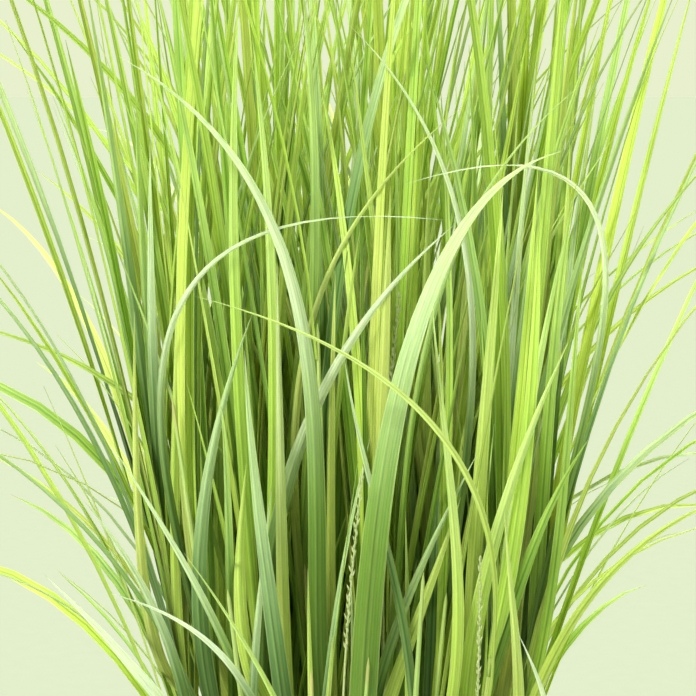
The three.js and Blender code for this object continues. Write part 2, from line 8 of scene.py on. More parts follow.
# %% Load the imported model
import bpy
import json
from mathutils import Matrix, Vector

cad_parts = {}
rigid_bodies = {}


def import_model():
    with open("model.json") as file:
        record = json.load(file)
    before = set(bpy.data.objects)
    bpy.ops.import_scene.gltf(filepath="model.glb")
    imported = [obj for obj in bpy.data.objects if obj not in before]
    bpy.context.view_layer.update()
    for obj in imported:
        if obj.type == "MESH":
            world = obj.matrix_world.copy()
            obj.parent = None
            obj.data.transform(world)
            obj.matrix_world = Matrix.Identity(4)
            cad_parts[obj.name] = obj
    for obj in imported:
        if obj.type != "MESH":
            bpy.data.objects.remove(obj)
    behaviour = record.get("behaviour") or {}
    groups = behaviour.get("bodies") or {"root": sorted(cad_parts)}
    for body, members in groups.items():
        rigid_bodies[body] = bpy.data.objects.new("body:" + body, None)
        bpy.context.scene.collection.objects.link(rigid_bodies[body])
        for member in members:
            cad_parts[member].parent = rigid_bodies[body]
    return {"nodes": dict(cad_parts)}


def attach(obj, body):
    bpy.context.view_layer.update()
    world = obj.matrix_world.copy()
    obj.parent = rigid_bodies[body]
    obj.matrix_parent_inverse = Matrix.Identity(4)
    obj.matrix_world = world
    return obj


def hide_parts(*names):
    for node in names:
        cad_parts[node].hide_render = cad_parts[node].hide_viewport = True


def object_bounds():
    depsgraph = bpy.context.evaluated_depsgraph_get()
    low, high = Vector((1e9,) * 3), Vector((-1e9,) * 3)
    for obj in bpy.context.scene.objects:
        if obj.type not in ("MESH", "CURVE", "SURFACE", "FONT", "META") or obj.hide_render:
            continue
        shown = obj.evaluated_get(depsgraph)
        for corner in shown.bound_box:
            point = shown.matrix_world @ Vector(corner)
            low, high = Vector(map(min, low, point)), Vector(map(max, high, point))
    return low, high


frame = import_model()
cad_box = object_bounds()
print("CAD box", [[round(value, 4) for value in corner] for corner in cad_box])

# %% The libraries used below
import json
import math

import bpy
import numpy as np
from mathutils import Vector, kdtree
from mathutils.bvhtree import BVHTree

# %% [markdown]
# ## Driving dimensions
# The plant's curves were worked out in millimetres, so this script does its sums in millimetres too and
# turns them into metres only when a corner is written into a mesh. The names are those of the solids, and so
# are the values, apart from the tapers: here the blades stay broad for a longer way, as the real ones do.

# %% Driving dimensions, in millimetres
MM = 0.001
POT_HEIGHT = 232
RIM_RADIUS = 126
RIM_DEPTH = 16
RIM_PROUD = 4
FOOT_RADIUS = 97
WALL = 2.2
DRAIN_HOLES = 6
DRAIN_RADIUS = 8
DRAIN_CIRCLE = 78
SOIL_LEVEL = 206
CLEARANCE = 0.35
UP = np.array([0.0, 0.0, 1.0])

# %% [markdown]
# The next ones rule how the clump grows. Angles here are in degrees. Where there are two values, each stem or
# blade has its own between them, and "play" is how far a value may stray.

# %% Driving dimensions of the growth
STEMS = 50
CLUMP_RADIUS = 78
GOLDEN_ANGLE = math.radians(137.50776)
OUTER_LEAN = 9
LEAN_PLAY = (0.7, 1.3)
LEAN_COMPASS_PLAY = 50
TALL_EVERY = 6
TALL_FIRST = 3
STEM_HEIGHT = (135, 195)
TALL_STEM_HEIGHT = (240, 300)
STEM_RADIUS = (2.4, 2.9)
LEAVES_PER_STEM = 9
MOST_ATTEMPTS = 200
EASING = 0.6
COLLARS = (0.14, 0.98)
COLLAR_PLAY = (0.95, 1)
LEAF_COMPASS_PLAY = 90
UPPER_OPENING = 3
LOWER_OPENING = 12
OPENING_PLAY = 6
ARCHING_SHARE = 0.08
ARCHING_OUTER_SHARE = 0.12
ARCHING_LOW_SHARE = 0.5
LOW_LEAVES = 2
ARCHING_BEND = (40, 95)
UPRIGHT_BEND = (2, 19)
TURN_PLAY = 70
SHORTEST_LEAF = 250
LONGER_LEAF = 215
LONGEST_FROM = 0.12
LONGEST_SPAN = 0.68
LENGTH_PLAY = (0.7, 1.12)
NARROWEST_LEAF = 5.2
WIDTH_PLAY = 4.2
MIDDLE_WIDTH = 1.6
ROOT_TWIST_PLAY = 50
TIP_TWIST_PLAY = 100
TAPER = (2.1, 1.0)
FULL_TAPER = (3.2, 1.0)
BROAD_TAPER = (2.3, 1.0)

# %% [markdown]
# ## The rule that the clump grew by
# Every stem and blade comes from a seeded stream of numbers, so the same plant grows on every run. A blade's
# centreline is a cubic curve, and for each blade the solids kept the first draw that crossed nothing. The
# crossings needn't be tested again here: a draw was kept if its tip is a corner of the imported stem.


# %% A seeded stream of numbers
WORD = 0xFFFFFFFF
COUNTER_STEP = 0x6D2B79F5


def numbers_from(seed):
    """Numbers from 0 to 1, made by mixing the bits of a 32-bit counter."""
    state = seed

    def following():
        nonlocal state
        state = (state + COUNTER_STEP) & WORD
        mixed = ((state ^ (state >> 15)) * (1 | state)) & WORD
        mixed = ((mixed + (((mixed ^ (mixed >> 7)) * (61 | mixed)) & WORD)) & WORD) ^ mixed
        return ((mixed ^ (mixed >> 14)) & WORD) / (WORD + 1)

    return following


def between(low_high, draw):
    low, high = low_high
    return low + (high - low) * draw


def played(degrees, draw):
    """An angle in radians, up to half of the degrees to one side or the other."""
    return math.radians(degrees) * (draw - 0.5)


def slanted(from_vertical, compass):
    """A direction at an angle from the vertical, towards a compass angle round +Z."""
    level = math.sin(from_vertical)
    return np.array([level * math.cos(compass), level * math.sin(compass), math.cos(from_vertical)])


def level_way(compass):
    return slanted(math.pi / 2, compass)


def unit(vector):
    return vector / np.linalg.norm(vector)


# %% The stems
STEM_SEED = 7001


class Stem:
    """A culm's foot, direction and height. The feet stand in a sunflower pattern, the outer ones lean out."""

    def __init__(self, index):
        draw = numbers_from(STEM_SEED + index)
        self.index = index
        self.name = f"stem_{index + 1:02d}"
        self.share = math.sqrt((index + 0.5) / STEMS)
        compass = index * GOLDEN_ANGLE
        lean = math.radians(OUTER_LEAN) * self.share * between(LEAN_PLAY, draw())
        self.direction = slanted(lean, compass + played(LEAN_COMPASS_PLAY, draw()))
        self.foot = level_way(compass) * CLUMP_RADIUS * self.share
        self.foot[2] = SOIL_LEVEL
        tall = index % TALL_EVERY == TALL_FIRST
        self.height = between(TALL_STEM_HEIGHT if tall else STEM_HEIGHT, draw())
        self.radius = between(STEM_RADIUS, draw())
        self.plane = compass + math.pi * draw()
        self.leaves = []

    def at(self, height):
        return self.foot + self.direction * height


stems = [Stem(index) for index in range(STEMS)]
print(len(stems), "stems, the tallest", round(max(stem.height for stem in stems)), "mm")


# %% The blades' curves
SEEDS_PER_STEM = 100000
SEEDS_PER_PLACE = 1000
MATCHING = 0.02


def centreline(stem, collar, compass, opening, bend, turn, length):
    """The four control points of a blade that opens from its stem, bends over and turns aside."""
    points = [stem.at(collar)]
    for t in (0, 0.5, 1):
        bar = slanted(opening + bend * t, compass + turn * t) + stem.direction * (1 - t)
        points.append(points[-1] + unit(bar) * length / 3)
    return np.array(points)


def leaf_of(stem, place, attempt):
    """One draw for a blade: the curve's control points, width, direction across and twist."""
    draw = numbers_from(SEEDS_PER_STEM * (stem.index + 1) + SEEDS_PER_PLACE * place + attempt)
    rank = place / (LEAVES_PER_STEM - 1)
    ease = 1 - EASING * (attempt / MOST_ATTEMPTS)
    collar = stem.height * between(COLLARS, rank) * between(COLLAR_PLAY, draw())
    compass = stem.plane + (math.pi if place % 2 else 0) + played(LEAF_COMPASS_PLAY, draw())
    opening = ease * math.radians(between((LOWER_OPENING, UPPER_OPENING), rank) + OPENING_PLAY * draw())
    outer = ARCHING_OUTER_SHARE + (ARCHING_LOW_SHARE if place < LOW_LEAVES else 0)
    bends = ARCHING_BEND if draw() < ARCHING_SHARE + outer * stem.share else UPRIGHT_BEND
    bend = ease * math.radians(between(bends, draw()))
    turn = played(TURN_PLAY, draw())
    longest = SHORTEST_LEAF + LONGER_LEAF * math.sin(math.pi * (LONGEST_FROM + LONGEST_SPAN * rank))
    length = longest * between(LENGTH_PLAY, draw() * ease)
    return {
        "points": centreline(stem, collar, compass, opening, bend, turn, length),
        "width": NARROWEST_LEAF + WIDTH_PLAY * draw() * draw() + MIDDLE_WIDTH * math.sin(math.pi * rank),
        "broadside": level_way(compass + math.pi / 2),
        "twist": (played(ROOT_TWIST_PLAY, draw()), played(TIP_TWIST_PLAY, draw())),
        "collar": collar,
    }


def corners_of(node):
    """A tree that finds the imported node's corner nearest to a point in millimetres."""
    corners = frame["nodes"][node].data.vertices
    tree = kdtree.KDTree(len(corners))
    for number, corner in enumerate(corners):
        tree.insert(corner.co / MM, number)
    tree.balance()
    return tree


for stem in stems:
    tree = corners_of(stem.name)
    for place in range(LEAVES_PER_STEM):
        for attempt in range(MOST_ATTEMPTS):
            leaf = leaf_of(stem, place, attempt)
            if tree.find(leaf["points"][3])[2] < MATCHING:
                stem.leaves.append(leaf)
                break
print(sum(len(stem.leaves) for stem in stems), "blades found in the packed stems")


# %% [markdown]
# ## The blades placed one by one
# Seen from the front, some blades stand out: one wide blade up the middle, long silvery ones that arch over,
# and a few that cross. Their curves are written out, and each grows from the nearest stem. The last two
# values are for the finish: how blue-green a blade is, and how much silvery bloom, partly a painted sheen, it
# has.

# %% The placed blades: width, twist at the foot and tip in degrees, four control points, hue, bloom and painted sheen
PLACED_BLADES = [
    [14.0, 8, -48, [5, -77, 279], [9, -96, 386], [10, -104, 579], [98, -90, 597], 0.56, 0.55],
    [9.5, -12, 40, [-8, -47, 280], [-31, -80, 406], [24, -90, 570], [-105, -84, 640], 0.62, 0.80],
    [4.8, 30, 15, [-65, -19, 299], [-79, -60, 421], [-151, -76, 585], [45, -84, 565], 0.72, 1.00],
    [4.0, 65, 5, [68, -55, 329], [81, -104, 427], [56, -114, 501], [-69, -112, 533], 0.16, 0.15],
    [9.4, 10, 30, [-40, -43, 300], [-47, -64, 396], [-28, -76, 497], [50, -62, 561], 0.70, 0.95],
    [4.6, 15, -25, [31, -81, 319], [32, -82, 381], [6, -84, 442], [-2, -92, 504], 0.85, 0.55],
    [4.6, 40, 30, [19, -40, 300], [33, -60, 416], [12, -72, 551], [109, -66, 627], 0.45, 0.30],
    [9.6, 5, 25, [60, -29, 289], [55, -66, 356], [70, -94, 439], [102, -88, 509], 0.28, 0.20],
    [8.6, -15, 22, [61, -30, 298], [77, -50, 353], [86, -60, 411], [116, -56, 457], 0.55, 0.00],
    [4.8, 20, 5, [-38, -42, 280], [-46, -78, 343], [-74, -88, 404], [-111, -82, 459], 0.55, 0.65],
    [4.6, -10, 35, [-26, -63, 278], [-42, -92, 328], [-45, -104, 376], [-110, -102, 393], 0.75, 1.00],
    [9.5, 12, -20, [-26, -62, 269], [-30, -86, 348], [-45, -92, 428], [-48, -86, 505], 0.92, 0.35],
    [8.6, -8, 26, [-62, -49, 299], [-80, -72, 374], [-72, -80, 448], [-45, -74, 520], 0.85, 0.35],
    [4.6, -30, 10, [40, -37, 300], [50, -40, 423], [98, -50, 563], [-1, -56, 656], 0.66, 0.95],
    [4.8, 35, -20, [-18, -33, 300], [-22, -40, 418], [-57, -44, 529], [54, -66, 617], 0.04, 0.10],
    [4.4, 0, 10, [87, -25, 299], [89, -40, 427], [201, -54, 635], [26, -60, 580], 0.66, 1.00],
    [7.4, 10, 30, [-26, -64, 279], [-33, -70, 368], [-31, -76, 458], [-33, -80, 545], 0.06, 0.45],
    [5.6, -20, 15, [-78, -33, 289], [-95, -38, 388], [-79, -44, 488], [-81, -58, 587], 0.24, 0.05],
    [6.4, 25, -30, [39, -58, 280], [67, -76, 361], [45, -84, 442], [39, -80, 528], 0.22, 0.25],
    [6.0, 15, -15, [86, -25, 289], [108, -44, 375], [105, -52, 461], [112, -60, 549], 0.45, 0.10],
    [5.2, -20, 40, [85, -25, 275], [106, -62, 290], [101, -96, 330], [79, -100, 374], 0.70, 1.00],
    [9.0, 0, 30, [-44, -66, 262], [-62, -92, 300], [-88, -106, 352], [-140, -108, 404], 0.60, 1.00],
    [6.6, -20, 25, [-76, -32, 275], [-78, -66, 330], [-82, -92, 384], [-122, -98, 436], 0.80, 0.60],
    [3.4, 10, 40, [-17, -78, 270], [-16, -92, 310], [-40, -110, 365], [-75, -112, 415], 0.30, 0.20],
    [5.6, 20, -20, [-40, -62, 255], [-50, -78, 320], [-44, -82, 370], [-36, -72, 440], 0.90, 0.50],
    [6.6, -15, 25, [9, -62, 285], [6, -72, 330], [26, -76, 385], [62, -74, 455], 0.72, 0.45],
    [8.2, 20, -10, [5, -76, 270], [14, -73, 325], [36, -74, 375], [54, -70, 432], 0.12, 0.05],
    [6.6, -10, 25, [84, -24, 262], [88, -74, 320], [78, -100, 372], [72, -102, 432], 0.14, 0.10],
]
ABOVE_ROOT = 4
ACROSS_VIEW = np.array([1.0, 0.0, 0.0])
GIVEN_DRYNESS = 0.1
PLACED_LIGHTNESS = (0.95, 0.45)


def given_tint(hue, bloom_and_sheen, lightness):
    """The tint of a blade that is written out. It is the darker, the bluer it is."""
    return hue, bloom_and_sheen, GIVEN_DRYNESS, between(lightness, hue)


def placed_blade(width, twist_foot, twist_tip, root, second, third, tip, hue, bloom_and_sheen):
    """A placed blade and the stem that carries it: the nearest one that reaches the blade's root."""
    up_stem = root[2] - SOIL_LEVEL
    carriers = [stem for stem in stems if stem.height > up_stem + ABOVE_ROOT]
    stem = min(carriers, key=lambda one: np.linalg.norm(one.at(up_stem) - np.array(root)))
    leaf = {
        "points": np.array([stem.at(up_stem), second, third, tip], float),
        "width": width,
        "broadside": ACROSS_VIEW,
        "twist": (math.radians(twist_foot), math.radians(twist_tip)),
        "collar": up_stem,
        "tint": given_tint(hue, bloom_and_sheen, PLACED_LIGHTNESS),
        "placed": True,
    }
    return stem, leaf


for row in PLACED_BLADES:
    stem, leaf = placed_blade(*row)
    stem.leaves.append(leaf)
    print(stem.name, "carries a placed blade", leaf["width"], "mm wide")

# %% [markdown]
# ## The flower spikes' places
# Three slender spikes stand among the blades. Each has its foot on the mix and a curve of its own, written
# out as the placed blades' are. They are given here because the blades below are kept clear of them.

# %% The spikes' curves: a foot on the mix and three control points
SPIKE_START = 4
SPIKE_CURVES = [
    [[55, -80], [60, -94, 290], [62, -100, 350], [61, -102, 411]],
    [[2, -86], [-9, -96, 300], [0, -102, 390], [7, -102, 452]],
    [[22, -52], [17, -58, 330], [13, -59, 430], [25, -57, 528]],
]


def spike_points(curve):
    (x, y), *rest = curve
    return np.array([[x, y, SOIL_LEVEL + SPIKE_START], *rest], float)


# %% [markdown]
# ## Sheets to make the plant from
# A grass blade is a long thin sheet, and its sheath is the same sheet rolled round the stem. So both start
# as one flat sheet each, modelled once: a grid for a blade, given a thickness, and a grid that is rolled into
# a tube for a stem. Every copy gets its own mesh, whose corners are laid along that blade's own curve.


# %% Small helpers for modelling
def deselect():
    bpy.ops.object.select_all(action="DESELECT")


def select_alone(piece):
    deselect()
    piece.select_set(True)
    bpy.context.view_layer.objects.active = piece


def added(name):
    """Names the object that an operator has just added."""
    piece = bpy.context.object
    piece.name = piece.data.name = name
    return piece


def edit(piece):
    """Opens one piece in edit mode, selected all over."""
    select_alone(piece)
    bpy.ops.object.mode_set(mode="EDIT")
    bpy.ops.mesh.select_all(action="SELECT")


def leave_edit():
    bpy.ops.object.mode_set(mode="OBJECT")


def face_outwards():
    """Turns all faces of the piece in edit mode outwards."""
    bpy.ops.mesh.select_all(action="SELECT")
    bpy.ops.mesh.normals_make_consistent(inside=False)


def apply_modifier(piece, kind, **settings):
    """Adds a modifier with its settings and applies it."""
    modifier = piece.modifiers.new(kind.lower(), kind)
    for setting, value in settings.items():
        setattr(modifier, setting, value)
    select_alone(piece)
    bpy.ops.object.modifier_apply(modifier=modifier.name)


def corners(piece):
    values = np.empty(len(piece.data.vertices) * 3)
    piece.data.vertices.foreach_get("co", values)
    return values.reshape(-1, 3)


def set_corners(piece, places):
    """Moves a piece's corners to places given in millimetres."""
    piece.data.vertices.foreach_set("co", (np.asarray(places) * MM).astype(np.float32).ravel())
    piece.data.update()


def joined(pieces, name):
    """Joins copies into one piece."""
    select_alone(pieces[0])
    for piece in pieces:
        piece.select_set(True)
    bpy.ops.object.join()
    return added(name)


# %% The flat sheets
def flat_sheet(name, across, along):
    """A sheet from -1 to 1 across and 0 to 1 along."""
    deselect()
    bpy.ops.mesh.primitive_grid_add(x_subdivisions=across, y_subdivisions=along, size=2)
    sheet = added(name)
    edit(sheet)
    bpy.ops.transform.resize(value=(1, 0.5, 1), center_override=(0, 0, 0))
    bpy.ops.transform.translate(value=(0, 0.5, 0))
    leave_edit()
    return sheet


def blade_sheet(name, across, along):
    """A flat sheet made solid, with its faces one unit apart."""
    sheet = flat_sheet(name, across, along)
    apply_modifier(sheet, "SOLIDIFY", thickness=1, offset=0)
    return sheet


PLAIN_SHEET = blade_sheet("plain_sheet", 4, 14)
ARCHING_SHEET = blade_sheet("arching_sheet", 4, 26)
FINE_SHEET = blade_sheet("fine_sheet", 8, 48)
SLENDER_SHEET = blade_sheet("slender_sheet", 2, 12)
SHEETS = [PLAIN_SHEET, ARCHING_SHEET, FINE_SHEET, SLENDER_SHEET]
for sheet in SHEETS:
    print(sheet.name, len(sheet.data.polygons), "faces")


# %% What each corner carries for the finish
def columns(*values):
    """Values side by side, one row to a corner. A single number is the same for all."""
    return np.column_stack(np.broadcast_arrays(*values))


def marked(piece, flat, share, tint):
    """Writes the attributes that the finishes read: millimetres on the sheet, place on it, and tint."""
    mesh = piece.data
    loops = np.empty(len(mesh.loops), np.int32)
    mesh.loops.foreach_get("vertex_index", loops)
    mesh.uv_layers[0].data.foreach_set("uv", flat[loops].astype(np.float32).ravel())
    place = mesh.attributes.new("share", "FLOAT_VECTOR", "POINT")
    place.data.foreach_set("vector", share.astype(np.float32).ravel())
    colour = mesh.color_attributes.new("tint", "FLOAT_COLOR", "POINT")
    colour.data.foreach_set("color", tint.astype(np.float32).ravel())


def copy_of(template, name):
    """A copy of a template with its own mesh."""
    piece = template.copy()
    piece.data = template.data.copy()
    piece.name = piece.data.name = name
    bpy.context.scene.collection.objects.link(piece)
    return piece


# %% [markdown]
# ## The blades
# A real blade leaves its sheath wrapped half round the stem, opens within a few centimetres into a shallow
# channel, keeps nearly its full width for most of its length and then tapers to a hair-fine tip. It has a
# thick midrib that stands out underneath, and thin margins. All of this is a formula of the place on the
# sheet, so one function shapes every blade, and only its curve, width and twist differ.

# %% Blade shape, in millimetres and radians
OPENING_SHARE = 0.13
FLAT_CHANNEL = 0.30
CHANNEL_PLAY = 0.35
CHANNEL_WAVES = 9
MIDRIB_FOLD = 0.24
MIDRIB_THICK = 0.55
MARGIN_THICK = 0.16
TIP_THINNING = 0.6
ROOT_WIDTH = 0.8
FULL_WIDTH_FROM = 0.2
FINEST_TIP = 0.05
LAST_SHARE = 0.998
ROWS_TO_ROOT = 1.3
LENGTH_STEPS = 65


def smooth(value, low, high):
    """Rises smoothly from 0 at low to 1 at high."""
    t = np.clip((value - low) / (high - low), 0, 1)
    return t * t * (3 - 2 * t)


def rows_unit(vectors):
    return vectors / np.linalg.norm(vectors, axis=1, keepdims=True)


def on_cubic(points, t):
    """Places and tangents of a cubic curve at the shares t."""
    p0, p1, p2, p3 = points
    t = t[:, None]
    place = (1 - t) ** 3 * p0 + 3 * (1 - t) ** 2 * t * p1 + 3 * (1 - t) * t**2 * p2 + t**3 * p3
    tangent = (1 - t) ** 2 * (p1 - p0) + 2 * (1 - t) * t * (p2 - p1) + t**2 * (p3 - p2)
    return place, rows_unit(tangent)


def frame_along(leaf, t):
    """The blade's own directions at t: its place, across it, and out of its underside."""
    place, tangent = on_cubic(leaf["points"], t)
    side = rows_unit(leaf["broadside"] - (tangent @ leaf["broadside"])[:, None] * tangent)
    order = np.argsort(t, kind="stable")
    turned_over = np.einsum("ij,ij->i", side[order][1:], side[order][:-1]) < 0
    side[order[1:]] *= np.where(np.cumsum(turned_over) % 2, -1, 1)[:, None]
    foot, tip = leaf["twist"]
    turn = (foot + (tip - foot) * t)[:, None]
    across = side * np.cos(turn) + np.cross(tangent, side) * np.sin(turn)
    return place, across, np.cross(across, tangent)


def length_to(points, t):
    """Length in millimetres along a cubic up to each share t."""
    steps = np.linspace(0, 1, LENGTH_STEPS)
    place, _ = on_cubic(points, steps)
    run = np.concatenate([[0], np.cumsum(np.linalg.norm(np.diff(place, axis=0), axis=1))])
    return np.interp(t, steps, run)


def width_along(leaf, t):
    """Half the blade's width, with its root narrower and its tip drawn out."""
    start, end = leaf.get("taper", TAPER)
    rooted = between((ROOT_WIDTH, 1), smooth(t, 0, FULL_WIDTH_FROM))
    return leaf["width"] / 2 * rooted * (1 - t**start) ** end


def blade(template, leaf, culm_radius, ripple):
    """One blade: a copy of the sheet laid along its curve."""
    piece = copy_of(template, "blade")
    u, y, side = corners(template).T
    t = y**ROWS_TO_ROOT * LAST_SHARE
    place, across, under = frame_along(leaf, t)
    half = width_along(leaf, t) + FINEST_TIP
    closed = 1 - smooth(t, 0, OPENING_SHARE)
    hold = culm_radius + MARGIN_THICK
    flat = FLAT_CHANNEL * (1 + CHANNEL_PLAY * np.sin(CHANNEL_WAVES * t + ripple))
    curl = flat + (half / hold - flat) * closed
    radius = half / curl
    angle = u * curl
    thick = between((MARGIN_THICK, MIDRIB_THICK), (1 - np.abs(u)) ** 3) * (1 - TIP_THINNING * t)
    out = hold * closed + radius * (np.cos(angle) - 1)
    out = out - MIDRIB_FOLD * half * np.abs(u) * (1 - closed) + side * thick * np.cos(angle)
    along = radius * np.sin(angle) + side * thick * np.sin(angle)
    set_corners(piece, place + across * along[:, None] + under * out[:, None])
    run = length_to(leaf["points"], t)
    share = columns(np.abs(u), t, side + 0.5)
    tint = np.tile(leaf["tint"], (len(u), 1))
    marked(piece, columns(u * half, run), share, tint)
    return piece


# %% [markdown]
# ## Slender blades
# Between the main blades stand those of young side shoots, which the solids leave out. They grow by a rule of
# their own, in two kinds: short ones from low on a stem, some upright and some arching, and higher ones that
# fill the upper part of the clump. Each is drawn again until it crosses no other blade, stays inside the
# packed size and doesn't stand before a placed blade, or it is left out.

# %% Driving dimensions of the slender blades
SHORT_PER_STEM = 7
HIGH_PER_STEM = 6
HIGH_PER_TALL_STEM = 16
SLENDER_TRIES = 50
SLENDER_EASING = 0.7
SHORT_KIND = {
    "collars": (0.1, 0.9), "opening": (2, 26), "bend": (3, 100), "length": (150, 430), "width": (2.2, 8.0),
}
HIGH_KIND = {
    "collars": (0.6, 0.98), "opening": (1, 16), "bend": (2, 50), "length": (260, 430), "width": (3.4, 8.6),
}
SLENDER_TWIST_PLAY = (90, 160)
STRIP_STEPS = 12
STRIP_FROM = 0.07
STRIP_MARGIN = 0.3
SIGHT = np.array([0.0, -110.0, 15.0])
PLACED_SIGHT_FROM = 0.15
SPIKE_SIGHT_FROM = 0.35
BROAD_SIGHT_FROM = 0.3
INSIDE = 2
POT_MOUTH = 101
LOWEST_BLADE = 214
RIM_MARGIN = 8


# %% Strips that stand for blades while room is sought
def tree_of(ladders):
    """A search tree of the faces between the two rows of points of each ladder."""
    size = STRIP_STEPS + 1
    faces = []
    for first in range(0, 2 * size * len(ladders), 2 * size):
        for i in range(first, first + STRIP_STEPS):
            faces.append((i, i + 1, i + 1 + size, i + size))
    return BVHTree.FromPolygons(np.vstack(ladders).tolist(), faces)


def strip(leaf):
    """The blade's two margins, a little widened."""
    t = np.linspace(STRIP_FROM, 1, STRIP_STEPS + 1)
    place, across, _ = frame_along(leaf, t)
    reach = across * (width_along(leaf, t) + STRIP_MARGIN)[:, None]
    return np.vstack([place - reach, place + reach])


def sight(points, start):
    """The space between a curve, from its share start on, and the viewer."""
    place, _ = on_cubic(points, np.linspace(start, 1, STRIP_STEPS + 1))
    return np.vstack([place, place + SIGHT])


def culm_strips(stem):
    """Two strips that cross each other along a stem."""
    place = stem.foot + np.outer(np.linspace(0, stem.height, STRIP_STEPS + 1), stem.direction)
    return [np.vstack([place - way, place + way]) for way in np.eye(3)[:2] * (stem.radius + STRIP_MARGIN)]


def inside(place):
    """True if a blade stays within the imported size, above the mix and clear of the rim."""
    low, high = np.array(cad_box) / MM
    if (place < low + INSIDE).any() or (place > high - INSIDE).any():
        return False
    over_mix = np.hypot(place[:, 0], place[:, 1]) < POT_MOUTH
    return (place[:, 2] > np.where(over_mix, LOWEST_BLADE, POT_HEIGHT + RIM_MARGIN)).all()


# %% One draw for a slender blade
def slender_leaf(stem, draw, ease, kind):
    collar = stem.height * between(kind["collars"], draw())
    compass = 2 * math.pi * draw()
    opening = ease * math.radians(between(kind["opening"], draw()))
    bend = ease * math.radians(between(kind["bend"], draw() ** 2))
    turn = played(TURN_PLAY, draw())
    length = between(kind["length"], draw())
    return {
        "points": centreline(stem, collar, compass, opening, bend, turn, length),
        "width": between(kind["width"], ease * draw() ** 0.5),
        "broadside": level_way(compass + math.pi / 2),
        "twist": [played(play, draw()) for play in SLENDER_TWIST_PLAY],
        "collar": collar,
        "taper": FULL_TAPER,
        "slender": True,
    }


# %% [markdown]
# ## Broad blades in the gaps
# Some broad young blades, most of them a light yellow-green, show between the placed ones. Only the stretch
# that shows is written out, by its lower and upper end, and the highest ones fill the space above. The script
# looks for a stem and a depth from which a blade can reach its stretch and cross nothing, from the front
# backwards. One that finds no room is left out.

# %% The broad blades: lower end and upper end across and up in millimetres, width, hue, bloom and painted sheen
BROAD_BLADES = [
    [(-101, 345), (-100, 522), 6.2, 0.00, 0.00], [(-86, 345), (-78, 545), 7.6, 0.06, 0.05],
    [(-57, 345), (-48, 450), 8.5, 0.20, 0.05], [(-26, 345), (-24, 500), 6.6, 0.16, 0.15],
    [(-40, 380), (-30, 470), 6.0, 0.02, 0.10], [(-67, 430), (-64, 560), 8.0, 0.40, 0.05],
    [(-90, 400), (-88, 560), 7.5, 0.30, 0.00], [(-96, 470), (-94, 600), 6.5, 0.85, 0.60],
    [(-4, 400), (0, 560), 7.5, 0.34, 0.00], [(-10, 420), (-6, 540), 5.0, 0.04, 0.00],
    [(44, 385), (28, 500), 7.0, 0.02, 0.00], [(16, 450), (20, 580), 7.0, 0.04, 0.00],
    [(36, 440), (40, 590), 7.5, 0.16, 0.10], [(54, 430), (58, 600), 7.5, 0.30, 0.30],
    [(60, 420), (72, 580), 8.0, 0.18, 0.10], [(85, 345), (97, 490), 7.5, 0.02, 0.00],
    [(84, 430), (88, 570), 8.0, 0.36, 0.00], [(104, 420), (108, 600), 8.0, 0.16, 0.10],
    [(102, 345), (98, 440), 7.0, 0.40, 0.00], [(-30, 510), (-44, 650), 6.0, 0.34, 0.25],
    [(-80, 520), (-92, 660), 6.5, 0.26, 0.10], [(10, 530), (22, 670), 6.0, 0.30, 0.20],
    [(44, 530), (36, 680), 6.0, 0.42, 0.20], [(80, 540), (92, 680), 6.0, 0.22, 0.10],
    [(-58, 530), (-50, 670), 6.0, 0.36, 0.20], [(-8, 540), (-22, 680), 6.0, 0.50, 0.30],
]
BROAD_DEPTHS = range(-112, -20, 12)
BROAD_RISES = (40, 75, 110, 145, 200, 250)
BROAD_STEMS = 14
BEHIND = 30
LEAST_RISE = 20
BULGE = 3
BROAD_TWIST_PLAY = (70, 70)
BROAD_LIGHTNESS = (0.8, 0.4)


def broad_blade(stem, rise, depth, low, high, width, hue, bloom_and_sheen, draw):
    """A blade from a stem at a rise, through the stretch that shows."""
    (low_x, low_z), (high_x, high_z) = low, high
    middle = [(low_x + high_x) / 2, depth - BULGE, (low_z + high_z) / 2]
    return {
        "points": np.array([stem.at(rise), [low_x, depth, low_z], middle, [high_x, depth, high_z]]),
        "width": width,
        "taper": BROAD_TAPER,
        "broadside": ACROSS_VIEW,
        "twist": [played(play, draw()) for play in BROAD_TWIST_PLAY],
        "collar": rise,
        "tint": given_tint(hue, bloom_and_sheen, BROAD_LIGHTNESS),
        "slender": True,
        "broad": True,
    }


def ways_to(low):
    """The nearest stems, rises and depths to try for a stretch, the front ones first."""
    for depth in BROAD_DEPTHS:
        behind = np.array([low[0], depth + BEHIND])
        near = sorted(stems, key=lambda stem: np.abs(stem.foot[:2] - behind).sum())
        for stem in near[:BROAD_STEMS]:
            for rise in BROAD_RISES:
                if rise < stem.height and SOIL_LEVEL + rise < low[1] - LEAST_RISE:
                    yield depth, stem, rise


# %% What the new blades keep clear of
BROAD_SEED = 400001
SLENDER_SEED = 300001
SEEDS_PER_SHOOT = 100
blades = [leaf for stem in stems for leaf in stem.leaves]
ladders = [strip(leaf) for leaf in blades]
ladders += [sight(leaf["points"], PLACED_SIGHT_FROM) for leaf in blades if "placed" in leaf]
ladders += [sight(spike_points(curve), SPIKE_SIGHT_FROM) for curve in SPIKE_CURVES]
culms = [tree_of(culm_strips(stem)) for stem in stems]


def room_for(leaf, stem, grown):
    """The blade's strip, or None if it leaves its space or meets a blade, a kept view or another stem."""
    margins = strip(leaf)
    if not inside(margins):
        return None
    tree = tree_of([margins])
    others = grown + [culm for culm, other in zip(culms, stems) if other is not stem]
    return None if any(tree.overlap(other) for other in others) else margins


